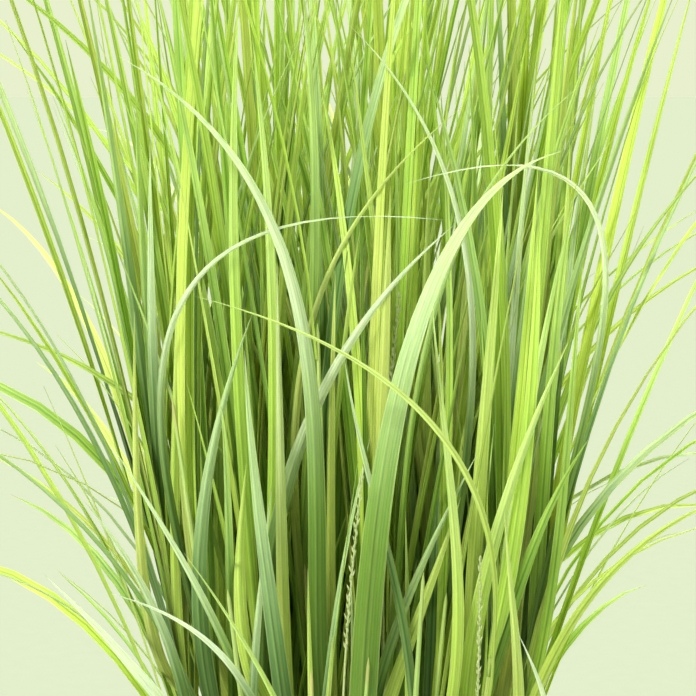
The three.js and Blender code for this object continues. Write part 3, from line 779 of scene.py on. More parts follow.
# %% The broad blades find their places
draw = numbers_from(BROAD_SEED)
for low, high, *finish in BROAD_BLADES:
    grown = [tree_of(ladders)]
    for depth, stem, rise in ways_to(low):
        leaf = broad_blade(stem, rise, depth, low, high, *finish, draw)
        margins = room_for(leaf, stem, grown)
        if margins is not None:
            stem.leaves.append(leaf)
            ladders += [margins, sight(leaf["points"], BROAD_SIGHT_FROM)]
            print("a broad blade grows from", stem.name, "at depth", depth)
            break

# %% The slender blades find their places
for number in range(SHORT_PER_STEM + HIGH_PER_TALL_STEM):
    kind = SHORT_KIND if number < SHORT_PER_STEM else HIGH_KIND
    only_tall = number >= SHORT_PER_STEM + HIGH_PER_STEM
    grown = [tree_of(ladders)]
    for stem in stems:
        if only_tall and stem.height < TALL_STEM_HEIGHT[0]:
            continue
        draw = numbers_from(SLENDER_SEED + SEEDS_PER_SHOOT * stem.index + number)
        for attempt in range(SLENDER_TRIES):
            leaf = slender_leaf(stem, draw, 1 - SLENDER_EASING * attempt / SLENDER_TRIES, kind)
            margins = room_for(leaf, stem, grown)
            if margins is not None:
                stem.leaves.append(leaf)
                ladders.append(margins)
                grown.append(tree_of([margins]))
                break
print(sum("slender" in leaf for stem in stems for leaf in stem.leaves), "more blades found room")

# %% [markdown]
# ## Tints
# Blades of one plant differ: most are yellow-green with light in them, some are mid green, and some are
# blue-green with a silvery bloom. Each blade gets four numbers: hue from yellow to blue-green, bloom, which
# the finish also turns into a painted sheen, how dry its tip is, and how light it is. They come from a second
# stream of numbers, so the growth isn't disturbed.


# %% Tints of the blades
TINT_SEED = 900001
KINDS = [
    {"up_to": 0.52, "hue": (0.08, 0.36), "bloom_and_sheen": (0, 0.12)},
    {"up_to": 0.8, "hue": (0.34, 0.59), "bloom_and_sheen": (0, 0.25)},
    {"up_to": 1, "hue": (0.66, 1), "bloom_and_sheen": (0.2, 0.7)},
]
MIDDLE_HUE = 0.5
YELLOW_DARKENING = 0.3


def tint_of(stem, place):
    draw = numbers_from(TINT_SEED + SEEDS_PER_SHOOT * stem.index + place)
    pick = draw()
    kind = next(kind for kind in KINDS if pick < kind["up_to"])
    hue = between(kind["hue"], draw())
    bloom_and_sheen = between(kind["bloom_and_sheen"], draw())
    return hue, bloom_and_sheen, draw() ** 2, draw() - YELLOW_DARKENING * (MIDDLE_HUE - hue)


for stem in stems:
    for place, leaf in enumerate(stem.leaves):
        leaf.setdefault("tint", tint_of(stem, place))
print("tints given to", sum(len(stem.leaves) for stem in stems), "blades")

# %% [markdown]
# ## The stems
# In its first season a switchgrass shoot is mostly leaf sheaths, one rolled inside the next, with a knuckle
# where each begins. From outside that is a slim round stem with a small step at every collar. It is a tube
# rolled from a sheet, whose rings are set at the steps, and its colour changes from sheath to sheath.

# %% Stem shape, in millimetres
STEM_AROUND = 10
CORE_SHARE = 0.62
CORE_TAPER = 0.25
SHEATH_THICK = 0.21
SHEATH_REACH = 78
SHEATH_START = 20
STEP_RISE = 0.5
STEP_SAG = 0.1
ABOVE_COLLAR = 10
BELOW_SOIL = 4
FIRST_RING = 8
LAST_RING = 5
KNUCKLE_PLACE = 0.62
KNUCKLE_SWELL = 0.16
KNUCKLE_HALF = 2.2
TOP_CLOSING = 0.93
TOP_REACH = 8
SEAM_GAP = 0.00001


def sheathed(stem):
    """The leaves whose sheaths wrap the stem. The blades that were added here belong to side shoots."""
    return [leaf for leaf in stem.leaves if "slender" not in leaf]


def ring_heights(stem):
    """Heights of the rings: three at each collar's step and at the knuckle, and some between."""
    top = stem.height + ABOVE_COLLAR
    heights = {-BELOW_SOIL, 0, FIRST_RING, top - LAST_RING, top}
    for leaf in sheathed(stem):
        heights |= {leaf["collar"] - STEP_RISE, leaf["collar"], leaf["collar"] + STEP_RISE}
    knuckle = stem.height * KNUCKLE_PLACE
    heights |= {knuckle - KNUCKLE_HALF, knuckle, knuckle + KNUCKLE_HALF}
    return np.array(sorted(heights))


def stem_radius(stem, height):
    """The core, plus each sheath that still covers it, plus the knuckle."""
    top = stem.height + ABOVE_COLLAR
    radius = stem.radius * CORE_SHARE * (1 - CORE_TAPER * height / top)
    for leaf in sheathed(stem):
        start, end = leaf["collar"] - SHEATH_REACH, leaf["collar"] + STEP_RISE
        covering = smooth(height, start, start + SHEATH_START)
        radius = radius + SHEATH_THICK * covering * (1 - smooth(height, leaf["collar"] - STEP_SAG, end))
    knuckle = np.exp(-(((height - stem.height * KNUCKLE_PLACE) / KNUCKLE_HALF) ** 2))
    closing = 1 - TOP_CLOSING * smooth(height, top - TOP_REACH, top)
    return radius * (1 + KNUCKLE_SWELL * knuckle) * closing


# %% Rolling a sheet into a tube
def rolled(piece, u, centres, sides, fronts, radii):
    """Rolls a sheet's corners round a line of centres, joins its seam and closes its ends."""
    angle = (u * math.pi)[:, None]
    ring = sides * np.cos(angle) + fronts * np.sin(angle)
    set_corners(piece, centres + ring * radii[:, None])
    edit(piece)
    bpy.ops.mesh.remove_doubles(threshold=SEAM_GAP)
    bpy.ops.mesh.select_all(action="SELECT")
    bpy.ops.mesh.fill_holes(sides=0)
    face_outwards()
    leave_edit()


# %% A stem
CULM_SEED = 500003
SHEATH_HUES = (0.15, 0.5)
GOLDEN_SHARE = 0.618
# Bloom on the stems, which the finish also turns into a painted sheen.
CULM_BLOOM_AND_SHEEN = 0.2


def culm(stem):
    """The stem itself: a rolled sheet with its rings at the steps."""
    heights = ring_heights(stem)
    piece = flat_sheet("culm", STEM_AROUND, len(heights) - 1)
    u, y, _ = corners(piece).T
    height = heights[np.rint(y * (len(heights) - 1)).astype(int)]
    radii = stem_radius(stem, height)
    up = stem.direction
    side = unit(np.cross(up, [0.0, 1.0, 0.0]))
    draw = numbers_from(CULM_SEED + stem.index)
    old = draw()
    covering = sum((height > leaf["collar"] for leaf in sheathed(stem)), np.zeros(len(u)))
    hue = between(SHEATH_HUES, (covering * GOLDEN_SHARE + old) % 1)
    tint = columns(hue, CULM_BLOOM_AND_SHEEN, old, draw())
    marked(piece, columns(u * math.pi * radii, height), columns(0.5, height / stem.height, 1), tint)
    rolled(piece, u, stem.foot + np.outer(height, up), side, np.cross(up, side), radii)
    return piece


first = culm(stems[0])
print("a stem has", len(first.data.polygons), "faces")
bpy.data.objects.remove(first)

# %% [markdown]
# ## Writing finishes as sums
# A finish is worked out by nodes. To keep them readable, one small class stands for a value that comes out
# of a node, and adding or multiplying such values adds the Math nodes. Any other node comes from one method.


# %% A value on a surface
class Reading:
    """An output socket. Sums with it add Math nodes to the same finish."""

    def __init__(self, finish, socket):
        self.finish = finish
        self.socket = socket

    def math(self, operation, *values):
        return self.finish.node("ShaderNodeMath", {"operation": operation}, dict(enumerate(values)))

    def __add__(self, other):
        return self.math("ADD", self, other)

    def __sub__(self, other):
        return self.math("SUBTRACT", self, other)

    def __rsub__(self, other):
        return self.math("SUBTRACT", other, self)

    def __mul__(self, other):
        return self.math("MULTIPLY", self, other)

    def __truediv__(self, other):
        return self.math("DIVIDE", self, other)

    def __pow__(self, other):
        return self.math("POWER", self, other)

    def __abs__(self):
        return self.math("ABSOLUTE", self)

    __radd__ = __add__
    __rmul__ = __mul__

    def sine(self):
        return self.math("SINE", self)

    def rising(self, low, high):
        """Rises smoothly from 0 at low to 1 at high, or falls if low is above high."""
        if low > high:
            return 1 - self.rising(high, low)
        settings = {"interpolation_type": "SMOOTHSTEP"}
        return self.finish.node("ShaderNodeMapRange", settings, {0: self, 1: low, 2: high, 3: 0, 4: 1})


# %% A finish and its nodes
def paint(code):
    """A colour given as 0xRRGGBB, as the shader needs it."""
    def linear(value):
        return value / 12.92 if value <= 0.04045 else ((value + 0.055) / 1.055) ** 2.4

    return (*(linear((code >> shift & 255) / 255) for shift in (16, 8, 0)), 1.0)


class Finish:
    """A material, or the world's backdrop, and the nodes that work it out."""

    def __init__(self, owner, shader="Principled BSDF"):
        owner.use_nodes = True
        self.owner = owner
        self.nodes = owner.node_tree.nodes
        self.links = owner.node_tree.links
        self.shader = self.nodes[shader]

    def connect(self, socket, value):
        if isinstance(value, Reading):
            self.links.new(value.socket, socket)
        else:
            socket.default_value = value

    def node(self, kind, settings=None, inputs=None, output=0):
        """Adds a node: its type, its settings, then its sockets' values or links. Gives one output."""
        made = self.nodes.new(kind)
        for setting, value in (settings or {}).items():
            if setting == "stops":
                self.set_stops(made.color_ramp.elements, value)
            else:
                setattr(made, setting, value)
        for name, value in (inputs or {}).items():
            self.connect(made.inputs[name], value)
        return Reading(self, made.outputs[output])

    def set_stops(self, elements, stops):
        while len(elements) < len(stops):
            elements.new(0.5)
        for element, (place, code) in zip(elements, stops.items()):
            element.position = place
            element.color = paint(code)

    def ramp(self, value, stops):
        """A colour ramp through stops, given as place: colour."""
        return self.node("ShaderNodeValToRGB", {"stops": stops}, {0: value})

    def mix(self, share, first, second, blend="MIX"):
        """Mixes two colours by a share from 0 to 1."""
        settings = {"data_type": "RGBA", "blend_type": blend, "clamp_factor": True}
        return self.node("ShaderNodeMix", settings, {0: share, 6: first, 7: second}, 2)

    def layered(self, colour, *layers):
        """Lays colours over each other, each where its share says."""
        for share, code in layers:
            colour = self.mix(share, colour, paint(code))
        return colour

    def parts(self, vector):
        """The three numbers of a vector or colour."""
        first = self.node("ShaderNodeSeparateXYZ", inputs={0: vector})
        return [Reading(self, output) for output in first.socket.node.outputs]

    def attribute(self, name, output="Vector"):
        return self.node("ShaderNodeAttribute", {"attribute_name": name}, output=output)

    def object_place(self):
        return self.node("ShaderNodeTexCoord", output="Object")

    def noise(self, vector, scale, detail=2, roughness=0.5):
        """Noise at a scale, which is one number, or three to stretch it."""
        if isinstance(scale, tuple):
            vector = self.node("ShaderNodeVectorMath", {"operation": "MULTIPLY"}, {0: vector, 1: scale})
            scale = 1
        inputs = {"Vector": vector, "Scale": scale, "Detail": detail, "Roughness": roughness}
        return self.node("ShaderNodeTexNoise", {"noise_dimensions": "3D"}, inputs)

    def bump(self, height, distance, strength):
        inputs = {"Height": height, "Distance": distance, "Strength": strength}
        return self.node("ShaderNodeBump", inputs=inputs)

    def surface(self, **sockets):
        """Sets the shader's sockets, named with _ for a space."""
        for name, value in sockets.items():
            self.connect(self.shader.inputs[name.replace("_", " ")], value)
        return self.owner


def finish_named(name):
    return Finish(bpy.data.materials.new(name))


# %% [markdown]
# ## The finish of the blades
# A living blade is satin and lets light through, so it glows yellow-green where light comes from behind. The
# shader scatters light under the surface for that. Its colour runs from yellow-green to blue-green by the
# blade's hue, with a dark line of painted shade along the midrib's groove between paler flanks, hairline
# margins, parallel veins a little over a millimetre apart, a silvery bloom on some that is partly a painted
# sheen, and a dry tip. Near the mix the blades turn brown, and painted shade darkens those deep in the clump
# and, a little, those near its top.

# %% Colours and strengths of the foliage
BLADE_TONES = {0.0: 0xDADF90, 0.26: 0xBAD45C, 0.5: 0x8CBA3C, 0.74: 0x689E46, 1.0: 0x669672}
SHEATH_TONE, SHEATH_COVER = 0xB4CC6E, 0.35
UPPER_TONE, UPPER_COVER = 0xCCE088, 0.4
UNDERSIDE_TONE, UNDERSIDE_COVER = 0xB0D080, 0.15
FLANK_TONE, FLANK_COVER = 0xD4EC90, 0.22
# The midrib's dark tone is painted shade in its groove.
MIDRIB_SHADE_TONE, MIDRIB_SHADE_COVER = 0x3E7230, (0.2, 0.7)
MARGIN_TONE, MARGIN_COVER = 0xE0F0A8, 0.5
# The bloom tone is partly a real silvery bloom and partly a painted sheen.
BLOOM_AND_SHEEN_TONE, BLOOM_AND_SHEEN_COVER = 0xDCE8E2, (0.08, 1.08)
DRY_TONE, DRY_COVER = 0xDCC88A, 0.7
BASE_TONE, BASE_REACH = 0x9A7A44, (46, 6)
VEIN_SPACING = 1.3
VEIN_WANDER = 6
VEIN_CONTRAST = 0.22
STREAK_CONTRAST = 0.5
GRAIN_CONTRAST = 0.35
LIGHTNESS = (1.09, 1.34)
DEEPENING = 0.5
YELLOW_CALMING = 0.16
# Painted shade: where blades deep in the clump and near its top are darkened, and how much more saturated the
# shade is.
LIT_PART = (0.5, 0.95)
LIT_HEIGHT = (0.32, 0.56)
CLUMP_SPREAD = 0.2
INNER_SHADE = 0.32
UPPER_SHADE = 0.14
SHADE_POWERS = (1.3, 1, 2.6)
LESS_BLUE = 0.86


# %% Foliage finish
def blade_colour(leaf, reading):
    """The colour of a blade by its hue, with painted shade along its midrib, flanks, margins, and bloom that
    is partly a painted sheen.
    """
    hue, bloom_and_sheen, along, streaks = reading["hue"], reading["bloom_and_sheen"], reading["along"], reading["streaks"]
    across_mm, off_midrib = abs(reading["across_mm"]), reading["off_midrib"]
    flanks = across_mm.rising(0.4, 0.8) * across_mm.rising(2.4, 1.0)
    colour = leaf.ramp(hue + (streaks - 0.5) * 0.3 + (reading["patches"] - 0.5) * 0.2, BLADE_TONES)
    return leaf.layered(
        colour,
        (along.rising(0.14, 0.0) * SHEATH_COVER, SHEATH_TONE),
        (along.rising(0.5, 1.0) * UPPER_COVER, UPPER_TONE),
        (reading["under"] * UNDERSIDE_COVER, UNDERSIDE_TONE),
        (flanks * FLANK_COVER, FLANK_TONE),
        # A dark line of painted shade along the midrib's groove.
        (reading["midrib_and_groove_shade"] * between(MIDRIB_SHADE_COVER, hue), MIDRIB_SHADE_TONE),
        (off_midrib.rising(0.86, 0.97) * MARGIN_COVER, MARGIN_TONE),
        # Silvery bloom which, stronger up the blade, is also a painted sheen.
        (bloom_and_sheen * between(BLOOM_AND_SHEEN_COVER, along.rising(0.32, 0.7)) * (0.49 + 0.9 * streaks), BLOOM_AND_SHEEN_TONE),
    )


def blade_tones(leaf, reading, lightness):
    """What the colour is multiplied by, for red, green and blue: veins, streaks, and shade in the clump."""
    hue, along, streaks, grain = reading["hue"], reading["along"], reading["streaks"], reading["grain"]
    x, y, z = reading["place"]
    # Painted shade: blades near the clump's axis and low down are darkened, more in blue than in green, and
    # those near the top a little.
    spread = MM * CLUMP_RADIUS + CLUMP_SPREAD * (z - MM * SOIL_LEVEL)
    outwards = (x * x + y * y) ** 0.5 / spread
    lit = 1 - (1 - outwards.rising(*LIT_PART)) * (1 - z.rising(*LIT_HEIGHT))
    veins = reading["across_mm"] * (2 * math.pi / VEIN_SPACING) + (streaks - 0.5) * VEIN_WANDER
    tone = between(LIGHTNESS, lightness) + veins.sine() * VEIN_CONTRAST * grain
    tone = tone + (streaks + reading["lines"] - 1) * STREAK_CONTRAST + (grain - 0.5) * GRAIN_CONTRAST
    tone = tone * (1 - DEEPENING * hue.rising(0.35, 0.6) * along.rising(0.7, 0.2))
    tone = tone * (1 - YELLOW_CALMING * hue.rising(0.24, 0.06))
    shade = (1 - INNER_SHADE + INNER_SHADE * lit) * (1 - UPPER_SHADE * z.rising(0.5, 0.66))
    red, green, blue = (tone * shade**power for power in SHADE_POWERS)
    return leaf.node("ShaderNodeCombineXYZ", inputs={0: red, 1: green, 2: blue * LESS_BLUE})


def foliage_finish():
    leaf = finish_named("foliage")
    sheet = leaf.node("ShaderNodeUVMap", {"uv_map": "UVMap"})
    place = leaf.object_place()
    hue, bloom_and_sheen, dryness = leaf.parts(leaf.attribute("tint", "Color"))
    off_midrib, along, under = leaf.parts(leaf.attribute("share"))
    across_mm = leaf.parts(sheet)[0]
    midrib_and_groove_shade = abs(across_mm).rising(0.5, 0.12) * off_midrib.rising(0.24, 0.08)
    reading = {
        "hue": hue, "bloom_and_sheen": bloom_and_sheen, "off_midrib": off_midrib, "along": along, "under": under,
        "across_mm": across_mm, "midrib_and_groove_shade": midrib_and_groove_shade, "place": leaf.parts(place),
        "streaks": leaf.noise(sheet, (1.43, 0.039, 1.3), 3, 0.6),
        "grain": leaf.noise(sheet, (5.0, 1.4, 1), 2, 0.7),
        "lines": leaf.noise(sheet, (1.6, 0.02, 1), 2, 0.6),
        "patches": leaf.noise(place, 22),
    }
    tones = blade_tones(leaf, reading, leaf.attribute("tint", "Alpha"))
    colour = leaf.mix(1.0, blade_colour(leaf, reading), tones, "MULTIPLY")
    low = reading["place"][2].rising(*(MM * (SOIL_LEVEL + reach) for reach in BASE_REACH))
    colour = leaf.layered(
        colour,
        (along.rising(0.95, 1.0) * dryness * DRY_COVER, DRY_TONE),
        (low * (0.08 + 0.9 * reading["patches"]), BASE_TONE),
    )
    ridges = (across_mm * (2 * math.pi / VEIN_SPACING)).sine()
    leaf.shader.subsurface_method = "BURLEY"
    return leaf.surface(
        Base_Color=colour,
        Roughness=0.46 + 0.16 * reading["streaks"] + 0.1 * bloom_and_sheen,
        Normal=leaf.bump(ridges * 0.8 + midrib_and_groove_shade * (under * 2.0 - 1.0) * 1.2, 0.00008, 0.6),
        Subsurface_Weight=0.3,
        Subsurface_Radius=(1.0, 1.0, 0.25),
        Subsurface_Scale=0.0016,
        Specular_IOR_Level=0.3,
    )


FOLIAGE = foliage_finish()
print("foliage finish has", len(FOLIAGE.node_tree.nodes), "nodes")

# %% [markdown]
# ## Growing the leafy stems
# Every stem is one piece: its culm and all its blades, joined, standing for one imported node.

# %% The leafy stems
STEM_PIECE_SEED = 700001
SMOOTHING = math.radians(50)
ARCH_BEND = math.radians(28)
MOST_RIPPLE = 6


def bending(points):
    """How far a curve turns from its first bar to its last."""
    first = unit(points[1] - points[0])
    last = unit(points[3] - points[2])
    return math.acos(np.clip(first @ last, -1, 1))


def sheet_for(leaf):
    """Placed blades get the finest sheet, arching ones a long one, and the rest a plain one."""
    if "placed" in leaf or "broad" in leaf:
        return FINE_SHEET
    if "slender" in leaf:
        return SLENDER_SHEET
    return ARCHING_SHEET if bending(leaf["points"]) > ARCH_BEND else PLAIN_SHEET


def finished(piece, material, smoothing=SMOOTHING):
    """Gives a piece its finish and smooth faces, and lets it ride on the plant."""
    piece.data.materials.clear()
    piece.data.materials.append(material)
    select_alone(piece)
    bpy.ops.object.shade_smooth_by_angle(angle=smoothing)
    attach(piece, "root")
    return piece


def leafy_stem(stem):
    draw = numbers_from(STEM_PIECE_SEED + stem.index)
    parts = [culm(stem)]
    for leaf in stem.leaves:
        hold = float(stem_radius(stem, np.array(leaf["collar"] - STEP_RISE)))
        parts.append(blade(sheet_for(leaf), leaf, hold, MOST_RIPPLE * draw()))
    piece = finished(joined(parts, "leafy_" + stem.name), FOLIAGE)
    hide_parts(stem.name)
    return piece


leafy_stems = [leafy_stem(stem) for stem in stems]
faces = [len(piece.data.polygons) for piece in leafy_stems]
print(len(leafy_stems), "leafy stems,", sum(faces), "faces in all,", max(faces), "at most")

# %% [markdown]
# ## The flower spikes
# Three slender spikes stand among the blades, each with a beaded head: small pointed spikelets, which on the
# plant sit on hair-thin stalks, here set a short way out round a thin axis. One spikelet is modelled from a
# sphere of few faces, drawn out to a point, and is copied round the axis by the sunflower angle.

# %% One spikelet
SPIKELET_LENGTH = 3.4
SPIKELET_RADIUS = 0.85
SPIKELET_FLATNESS = 0.62
SPIKELET_DRAWN_IN = 0.75
SPIKELET_POINT = 1.12
POINT_FROM = 0.98


def spikelet_template():
    """A flattened egg, drawn in towards a point."""
    deselect()
    bpy.ops.mesh.primitive_uv_sphere_add(segments=6, ring_count=6, radius=1, location=(0, 0, 0))
    egg = added("spikelet")
    edit(egg)
    bpy.ops.transform.resize(value=(SPIKELET_FLATNESS, 1.0, 1.0), center_override=(0, 0, 0))
    leave_edit()
    for corner in egg.data.vertices:
        lift = (corner.co.z + 1) / 2
        drawn_in = 1 - SPIKELET_DRAWN_IN * lift**2
        corner.co.x *= drawn_in
        corner.co.y *= drawn_in
        corner.co.z = lift * SPIKELET_POINT if lift > POINT_FROM else lift
    return egg


SPIKELET = spikelet_template()
print("a spikelet has", len(SPIKELET.data.polygons), "faces")

# %% The spike's axis and its spikelets
SPIKE_SEED = 800001
SPIKE_RADIUS = (0.855, 0.225)
SPIKE_HEAD = 88
SPIKE_BEADS = 46
SPIKE_CROWDING = 0.9
LAST_BEAD = 2
SPIKE_AROUND = 8
SPIKE_RINGS = 30
SPIKE_STEPS = 257
AXIS_TINT = (0.3, 0.3, 0, 0.6)
BEAD_LEAN = (10, 24)
BEAD_TURN_PLAY = 0.5
BEAD_SIZE = (0.75, 1.2)
BEAD_STALK = (0.5, 1.0)


def spike_axis(points):
    """The thin axis: a rolled sheet that tapers upwards."""
    piece = flat_sheet("axis", SPIKE_AROUND, SPIKE_RINGS)
    u, t, _ = corners(piece).T
    centres, tangent = on_cubic(points, t)
    side = rows_unit(np.cross(tangent, [0.0, 1.0, 0.0]))
    centres[t == 0] -= UP * (SPIKE_START + BELOW_SOIL)
    radii = between(SPIKE_RADIUS, t)
    flat = columns(u * math.pi * radii, length_to(points, t))
    marked(piece, flat, columns(0.5, t, 1), np.tile(AXIS_TINT, (len(u), 1)))
    rolled(piece, u, centres, side, np.cross(tangent, side), radii)
    return piece


def spikelet(points, share, number, draw):
    """A copy of the spikelet on its place round the axis, leaning out."""
    piece = copy_of(SPIKELET, "bead")
    root, _ = on_cubic(points, np.array([share]))
    compass = number * GOLDEN_ANGLE + BEAD_TURN_PLAY * draw()
    axis = slanted(math.radians(between(BEAD_LEAN, draw())), compass)
    side = level_way(compass + math.pi / 2)
    size = between(BEAD_SIZE, draw())
    x, y, z = corners(SPIKELET).T
    stalk = between(BEAD_STALK, draw())
    across = np.outer(x, np.cross(axis, side)) + np.outer(y, side)
    along = np.outer(stalk + z * SPIKELET_LENGTH * size, axis)
    set_corners(piece, root + across * SPIKELET_RADIUS * size + along)
    tint = np.tile([draw() for _ in range(4)], (len(x), 1))
    marked(piece, columns(x, z), columns(abs(y), z, 1), tint)
    return piece


# %% The finish of the spikes
def straw_finish():
    straw = finish_named("flowers")
    one, two, three = straw.parts(straw.attribute("tint", "Color"))
    along = straw.parts(straw.attribute("share"))[1]
    grain = straw.noise(straw.object_place(), 900, 3)
    colour = straw.layered(
        straw.mix(one, paint(0xD6E2A8), paint(0xB9CF83)),
        (along.rising(0.35, 1.0) * (0.3 + 0.6 * two), 0xE9EBCB),
        (along.rising(0.75, 1.0) * three * 0.7, 0xB98C6E),
        (grain.rising(0.45, 0.75) * 0.35, 0x8FAF55),
    )
    return straw.surface(
        Base_Color=colour,
        Roughness=0.6 + 0.2 * grain,
        Normal=straw.bump(grain, 0.00008, 0.5),
        Subsurface_Weight=0.3,
        Subsurface_Radius=(1.0, 1.0, 0.4),
        Subsurface_Scale=0.001,
    )


FLOWERS = straw_finish()


# %% The spikes
def flower_spike(number, curve):
    points = spike_points(curve)
    draw = numbers_from(SPIKE_SEED + number)
    steps = np.linspace(0, 1, SPIKE_STEPS)
    run = length_to(points, steps)
    parts = [spike_axis(points)]
    for bead in range(SPIKE_BEADS):
        below_top = SPIKE_HEAD * (1 - (bead + 0.5) / SPIKE_BEADS) ** SPIKE_CROWDING + LAST_BEAD
        share = float(np.interp(run[-1] - below_top, run, steps))
        parts.append(spikelet(points, share, bead, draw))
    name = f"flower_spike_{number + 1}"
    piece = finished(joined(parts, "beaded_" + name), FLOWERS, math.radians(70))
    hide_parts(name)
    return piece


flower_spikes = [flower_spike(number, curve) for number, curve in enumerate(SPIKE_CURVES)]
print("flower spikes:", [len(piece.data.polygons) for piece in flower_spikes], "faces")

# %% [markdown]
# ## The pot
# The pot is a plain black nursery container, blown or moulded thin: a tapered wall with a few shallow bands,
# a proud rim that is easy to grip, and a floor with drain holes. It is turned like any round thing: a disc is
# the underside, and its edge is extruded again and again, each time to the next point of the wall's outline,
# up the outside, over the rim and down the inside to the floor. Then the holes are cut and edges softened.

# %% Pot shape, in millimetres
POT_AROUND = 96
BODY_TOP = POT_HEIGHT - RIM_DEPTH
BAND_DEPTH = 0.7
BAND_HALF = 1.2
BAND_HEIGHTS = (34, 44, 168, 176)
FOOT_RISE = 3
INSIDE_HEIGHTS = (BODY_TOP, 120, WALL + 3)


def outer_radius(z):
    return FOOT_RADIUS + (RIM_RADIUS - RIM_PROUD - FOOT_RADIUS) * z / BODY_TOP


def inner_radius(z):
    return outer_radius(z) - WALL


def foot_and_bands():
    """Radius and height up the outside, as far as the rim."""
    outline = [(FOOT_RADIUS - 2, 0), (FOOT_RADIUS - 0.6, 0.5), (outer_radius(FOOT_RISE), FOOT_RISE)]
    for height in BAND_HEIGHTS:
        for offset, depth in ((-2, 0), (-1, BAND_DEPTH), (1, BAND_DEPTH), (2, 0)):
            z = height + offset * BAND_HALF
            outline.append((outer_radius(z) - depth, z))
    return outline + [(outer_radius(z), z) for z in (BODY_TOP - 3, BODY_TOP)]


def rim_and_inside():
    """Radius and height over the rim and down the inside to the floor."""
    proud = [(1.0, BODY_TOP + 0.8), (0.1, BODY_TOP + 2.2), (0, POT_HEIGHT - 3), (0.7, POT_HEIGHT - 1)]
    outline = [(RIM_RADIUS - less, z) for less, z in proud + [(2.2, POT_HEIGHT)]]
    mouth = inner_radius(BODY_TOP)
    outline += [(mouth + 2.2, POT_HEIGHT), (mouth + 0.8, POT_HEIGHT - 1.2)]
    return outline + [(inner_radius(z), z) for z in INSIDE_HEIGHTS] + [(inner_radius(WALL) - 3, WALL)]


# %% Turning a round solid
def extrude_to(radius, z, was_radius, was_z):
    """Extrudes the selected face and brings it to the outline's next point."""
    bpy.ops.mesh.extrude_region_move()
    share = radius / was_radius
    bpy.ops.transform.resize(value=(share, share, 1), center_override=(0, 0, 0))
    bpy.ops.transform.translate(value=(0, 0, (z - was_z) * MM))


def turned(name, outline, around):
    """A round solid: a disc at the outline's first point, extruded from point to point."""
    deselect()
    radius, z = outline[0]
    bpy.ops.mesh.primitive_circle_add(
        vertices=around, radius=radius * MM, fill_type="NGON", location=(0, 0, z * MM)
    )
    bpy.ops.object.transform_apply(location=True)
    piece = added(name)
    edit(piece)
    for next_radius, next_z in outline[1:]:
        extrude_to(next_radius, next_z, radius, z)
        radius, z = next_radius, next_z
    face_outwards()
    leave_edit()
    return piece


pot = turned("nursery_pot", foot_and_bands() + rim_and_inside(), POT_AROUND)
print("pot turned:", len(pot.data.polygons), "faces")

# %% Drain holes and soft edges
DRILL_AROUND = 32
DRILL_LENGTH = 8 * WALL
SOFT_EDGE = 0.35
for number in range(DRAIN_HOLES):
    place = Vector(level_way(2 * math.pi * number / DRAIN_HOLES)) * DRAIN_CIRCLE * MM
    place.z = 0
    deselect()
    bpy.ops.mesh.primitive_cylinder_add(
        vertices=DRILL_AROUND, radius=DRAIN_RADIUS * MM, depth=DRILL_LENGTH * MM, location=place
    )
    drill = added("drill")
    apply_modifier(pot, "BOOLEAN", object=drill, operation="DIFFERENCE", solver="EXACT")
    bpy.data.objects.remove(drill)
sharp = math.radians(35)
apply_modifier(pot, "BEVEL", width=SOFT_EDGE * MM, segments=2, limit_method="ANGLE", angle_limit=sharp)
print("pot finished:", len(pot.data.polygons), "faces")


# %% Pot finish
def pot_finish():
    """Moulded plastic with a fine grain, dust low down, scuffs and a splash of mix at the rim."""
    plastic = finish_named("pot")
    place = plastic.object_place()
    z = plastic.parts(place)[2]
    grain = plastic.noise(place, 1500)
    cloud = plastic.noise(place, 14, 4, 0.6)
    run = plastic.noise(place, (60, 60, 6), 4, 0.65)
    scratch = plastic.noise(place, (35, 35, 900))
    low = z.rising(0.06, 0.0)
    high = z.rising(0.19, 0.232)
    dust = (cloud * 0.75 + run * 0.45).rising(0.5, 0.85) * (0.08 + 0.5 * low + 0.2 * high)
    scuff = scratch.rising(0.66, 0.8) * (0.25 + 0.6 * high + 0.4 * low)
    plain_plastic = plastic.mix(cloud, paint(0x1B1D1E), paint(0x25282A))
    return plastic.surface(
        Base_Color=plastic.layered(plain_plastic, (dust, 0x66625A), (scuff * 0.5, 0x565A5C)),
        Roughness=0.38 + 0.14 * grain + 0.35 * dust + 0.15 * scuff,
        Normal=plastic.bump(grain + 0.6 * scratch, 0.00012, 0.35),
        Specular_IOR_Level=0.5,
    )


finished(pot, pot_finish(), math.radians(40))
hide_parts("pot")

# %% [markdown]
# ## The potting mix
# The mix is composted bark: a dark, damp crumb with bigger chips and a few grains of white perlite on top.
# Its body is turned like the pot, its top is inset into rings, and displace modifiers raise the crumbs. The
# chips are a few shapes, modelled once, chipped at random with a seed, and scattered.

# %% Body of the mix
SOIL_AROUND = 96
SOIL_RINGS = 34
SOIL_BOTTOM = WALL + CLEARANCE
SOIL_EDGE = inner_radius(SOIL_LEVEL) - CLEARANCE
SOIL_FOOT = 3
LEVEL_FACE = 0.9


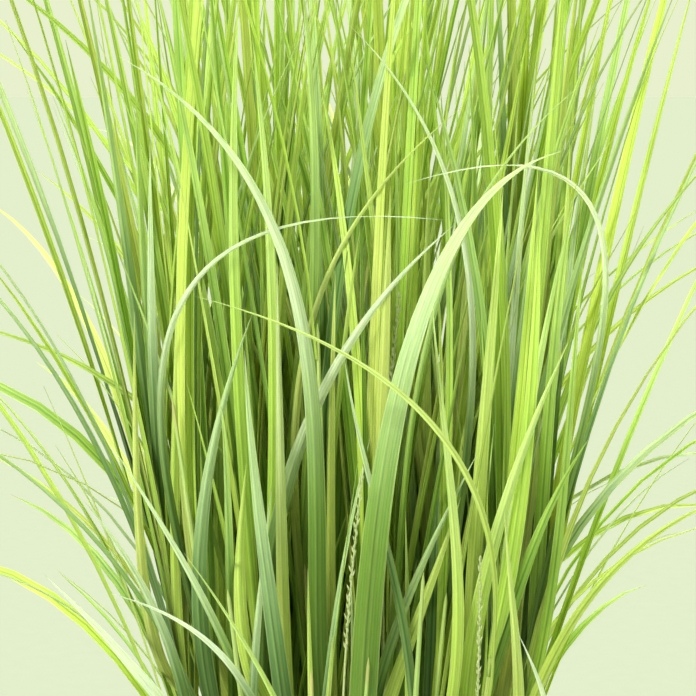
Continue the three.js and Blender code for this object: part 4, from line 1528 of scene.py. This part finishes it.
def soil_body():
    bottom = inner_radius(SOIL_BOTTOM) - CLEARANCE
    outline = [(bottom - SOIL_FOOT, SOIL_BOTTOM), (bottom, SOIL_BOTTOM + SOIL_FOOT), (SOIL_EDGE, SOIL_LEVEL)]
    piece = turned("soil_body", outline, SOIL_AROUND)
    edit(piece)
    bpy.ops.mesh.select_mode(type="FACE")
    bpy.ops.mesh.select_all(action="DESELECT")
    leave_edit()
    for polygon in piece.data.polygons:
        polygon.select = polygon.normal.z > LEVEL_FACE
    bpy.ops.object.mode_set(mode="EDIT")
    for ring in range(SOIL_RINGS):
        bpy.ops.mesh.inset(thickness=SOIL_EDGE * MM / (SOIL_RINGS + 1))
    bpy.ops.mesh.poke()
    bpy.ops.mesh.select_mode(type="VERT")
    leave_edit()
    return piece


def group_top(piece, edge=1):
    """Groups the corners of the level top, apart from those at its edge."""
    top = piece.vertex_groups.new(name="top")
    for corner in piece.data.vertices:
        if corner.co.z > (SOIL_LEVEL - edge) * MM and corner.co.xy.length < (SOIL_EDGE - edge) * MM:
            top.add([corner.index], 1.0, "REPLACE")


def crumbled(piece, name, size, height):
    """Raises the level top by a pattern of crumbs of a size and height in millimetres."""
    pattern = bpy.data.textures.new(name, "CLOUDS")
    pattern.noise_scale = size * MM
    apply_modifier(
        piece, "DISPLACE", texture=pattern, texture_coords="GLOBAL", direction="Z",
        strength=height * MM, mid_level=0.5, vertex_group="top",
    )


soil = soil_body()
group_top(soil)
for name, size, height in (("swells", 34, 7), ("clods", 9, 3.4), ("crumbs", 3.2, 1.8)):
    crumbled(soil, name, size, height)
print("mix body:", len(soil.data.polygons), "faces")

# %% One chip
CHIP_SEED = 610001
ROUGHNESS = (0.7, 1.3)


def chip_template(number, size):
    """A lump with few faces, roughened."""
    deselect()
    bpy.ops.mesh.primitive_ico_sphere_add(subdivisions=1, radius=1)
    chip = added("chip")
    draw = numbers_from(CHIP_SEED + number)
    rough = np.array([[between(ROUGHNESS, draw()) for _ in range(3)] for _ in chip.data.vertices])
    set_corners(chip, corners(chip) * rough * np.array(size))
    return chip


# %% Chips and perlite
CHIPS = 620
BARK_SEED = 620001
PERLITE = 70
PERLITE_SEED = 630001
LONGEST_CHIP = 3
MOST_TIP = 70
ABOVE_ALL = 0.4


def soil_height(tree, x, y):
    """Height of the finished mix at a place."""
    hit, _, _, _ = tree.ray_cast(Vector((x * MM, y * MM, ABOVE_ALL)), Vector((0, 0, -1)))
    return hit.z / MM if hit else SOIL_LEVEL


def scattered(name, templates, count, seed, sizes, sink):
    """Copies of a few lumps, scattered over the mix, each turned its own way and sunk a little."""
    tree = BVHTree.FromObject(soil, bpy.context.evaluated_depsgraph_get())
    draw = numbers_from(seed)
    lumps = []
    for _ in range(count):
        size = between(sizes, draw() ** 2)
        reach = (SOIL_EDGE - LONGEST_CHIP * size) * math.sqrt(draw())
        compass = 2 * math.pi * draw()
        x, y = reach * math.cos(compass), reach * math.sin(compass)
        lump = copy_of(templates[int(draw() * len(templates))], name)
        turn = 2 * math.pi * draw()
        tip = played(MOST_TIP, draw())
        across = level_way(turn)
        along = slanted(math.pi / 2 - tip, turn + math.pi / 2)
        directions = np.array([across, along, np.cross(across, along)])
        place = [x, y, soil_height(tree, x, y) + sink * size]
        set_corners(lump, corners(lump) / MM * size @ directions + place)
        tint = (draw(), draw(), draw(), 1.0)
        zeros = np.zeros(len(lump.data.vertices))
        marked(lump, columns(zeros, 0), columns(zeros, 0, 0), np.tile(tint, (len(zeros), 1)))
        lumps.append(lump)
    return joined(lumps, name)


chip_templates = [chip_template(number, (1.0, 2.2, 0.35 + 0.12 * number)) for number in range(5)]
perlite_templates = [chip_template(20 + number, (1.0, 1.0, 0.9)) for number in range(3)]
bark = scattered("bark_chips", chip_templates, CHIPS, BARK_SEED, (1.1, 4.2), 0.12)
perlite = scattered("perlite", perlite_templates, PERLITE, PERLITE_SEED, (0.7, 1.9), 0.35)
print("chips:", len(bark.data.polygons), "faces; perlite:", len(perlite.data.polygons), "faces")


# %% Finishes of the mix
def soil_finish():
    mix = finish_named("soil")
    place = mix.object_place()
    crumb = mix.noise(place, 320, 5, 0.7)
    clod = mix.noise(place, 60, 3)
    fibre = mix.noise(place, (900, 200, 300), 3)
    colour = mix.layered(
        mix.ramp(crumb, {0.25: 0x140D08, 0.48: 0x2C1D12, 0.62: 0x4A3220, 0.8: 0x6E5236}),
        (clod.rising(0.5, 0.75) * 0.5, 0x1A110B),
        (fibre.rising(0.64, 0.74) * 0.6, 0x8A6A45),
    )
    return mix.surface(
        Base_Color=colour,
        Roughness=0.78 + 0.2 * crumb,
        Normal=mix.bump(crumb + 0.5 * fibre, 0.0012, 0.8),
        Specular_IOR_Level=0.3,
    )


def bark_finish():
    mix = finish_named("bark")
    one, two, _ = mix.parts(mix.attribute("tint", "Color"))
    grain = mix.noise(mix.object_place(), (700, 700, 250), 4, 0.6)
    colour = mix.layered(
        mix.ramp(one, {0.0: 0x1E130C, 0.45: 0x3E2818, 0.8: 0x634228, 1.0: 0x86623E}),
        (grain.rising(0.4, 0.7) * 0.6, 0x23170F),
        (two.rising(0.86, 1.0) * 0.5, 0x9A8463),
    )
    return mix.surface(
        Base_Color=colour,
        Roughness=0.66 + 0.3 * grain,
        Normal=mix.bump(grain, 0.0008, 0.8),
        Specular_IOR_Level=0.35,
    )


def perlite_finish():
    mix = finish_named("perlite")
    pits = mix.noise(mix.object_place(), 1400, 3, 0.7)
    colour = mix.mix(pits.rising(0.4, 0.75), paint(0xE9E6DC), paint(0xB4A892))
    return mix.surface(Base_Color=colour, Roughness=0.85 + 0.1 * pits, Normal=mix.bump(pits, 0.0006, 0.7))


finished(soil, soil_finish())
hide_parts("soil")
finished(bark, bark_finish(), math.radians(20))
finished(perlite, perlite_finish(), math.radians(30))

# %% [markdown]
# ## Stage, light and camera
# The plant stands on a plain pale floor that runs far back and meets a backdrop of the same tone, so no line
# shows where one ends. The light is soft: a wide light high behind the clump shines through the blades, a
# weaker one in front keeps their faces clear, and the pale surroundings fill the shadows. The camera looks
# nearly level into the upper part of the clump, from the front, a little from above.

# %% Take the templates away
for template in (*SHEETS, SPIKELET, *chip_templates, *perlite_templates):
    bpy.data.objects.remove(template)

# %% Floor
FLOOR_HALF = 60.0
deselect()
bpy.ops.mesh.primitive_plane_add(size=2 * FLOOR_HALF)
floor = added("floor")
paper = finish_named("floor")
tone = paper.mix(paper.noise(paper.object_place(), 60), paint(0xA7AFA3), paint(0xABB3A7))
floor.data.materials.append(paper.surface(Base_Color=tone, Roughness=1.0, Specular_IOR_Level=0.0))

# %% Light
def placed_in_scene(name, data):
    """An object for a lamp or camera."""
    holder = bpy.data.objects.new(name, data)
    bpy.context.scene.collection.objects.link(holder)
    return holder


def soft_sun(name, compass, height, spread, strength, code):
    """A wide sun that shines from a compass angle and a height in degrees."""
    lamp = bpy.data.lights.new(name, "SUN")
    lamp.angle = math.radians(spread)
    lamp.energy = strength
    lamp.color = paint(code)[:3]
    towards = slanted(math.radians(90 - height), math.radians(compass))
    placed_in_scene(name, lamp).rotation_euler = Vector(towards).to_track_quat("Z", "Y").to_euler()


soft_sun("back_light", 62, 54, 9, 3.7, 0xFFFBE6)
soft_sun("front_light", 232, 52, 14, 3.0, 0xFFFDF0)

# %% Backdrop, from the horizon's tone to the sky's
world = bpy.data.worlds.new("studio")
bpy.context.scene.world = world
backdrop = Finish(world, "Background")
height = backdrop.parts(backdrop.node("ShaderNodeTexCoord", output="Generated"))[2]
backdrop.surface(Color=backdrop.ramp(height, {0.06: 0xE8F0CD, 0.35: 0x828E70}))

# %% Camera
AIM = Vector((0, -80, 505)) * MM
AWAY = 900
RISE = math.radians(8)
SEEN = 325
SENSOR = 36
BOUNCES = 2
back = Vector((0, -math.cos(RISE), math.sin(RISE)))
lens = bpy.data.cameras.new("camera")
lens.sensor_width = SENSOR
lens.lens = SENSOR * AWAY / SEEN
camera = placed_in_scene("camera", lens)
camera.location = AIM + back * AWAY * MM
camera.rotation_euler = (-back).to_track_quat("-Z", "Y").to_euler()
scene = bpy.context.scene
scene.camera = camera
scene.view_settings.view_transform = "Standard"
scene.cycles.use_denoising = True
scene.cycles.max_bounces = BOUNCES
print("camera", round(camera.location.z, 3), "m up, lens", round(lens.lens, 1), "mm")

# %% Update the view layer
bpy.context.view_layer.update()
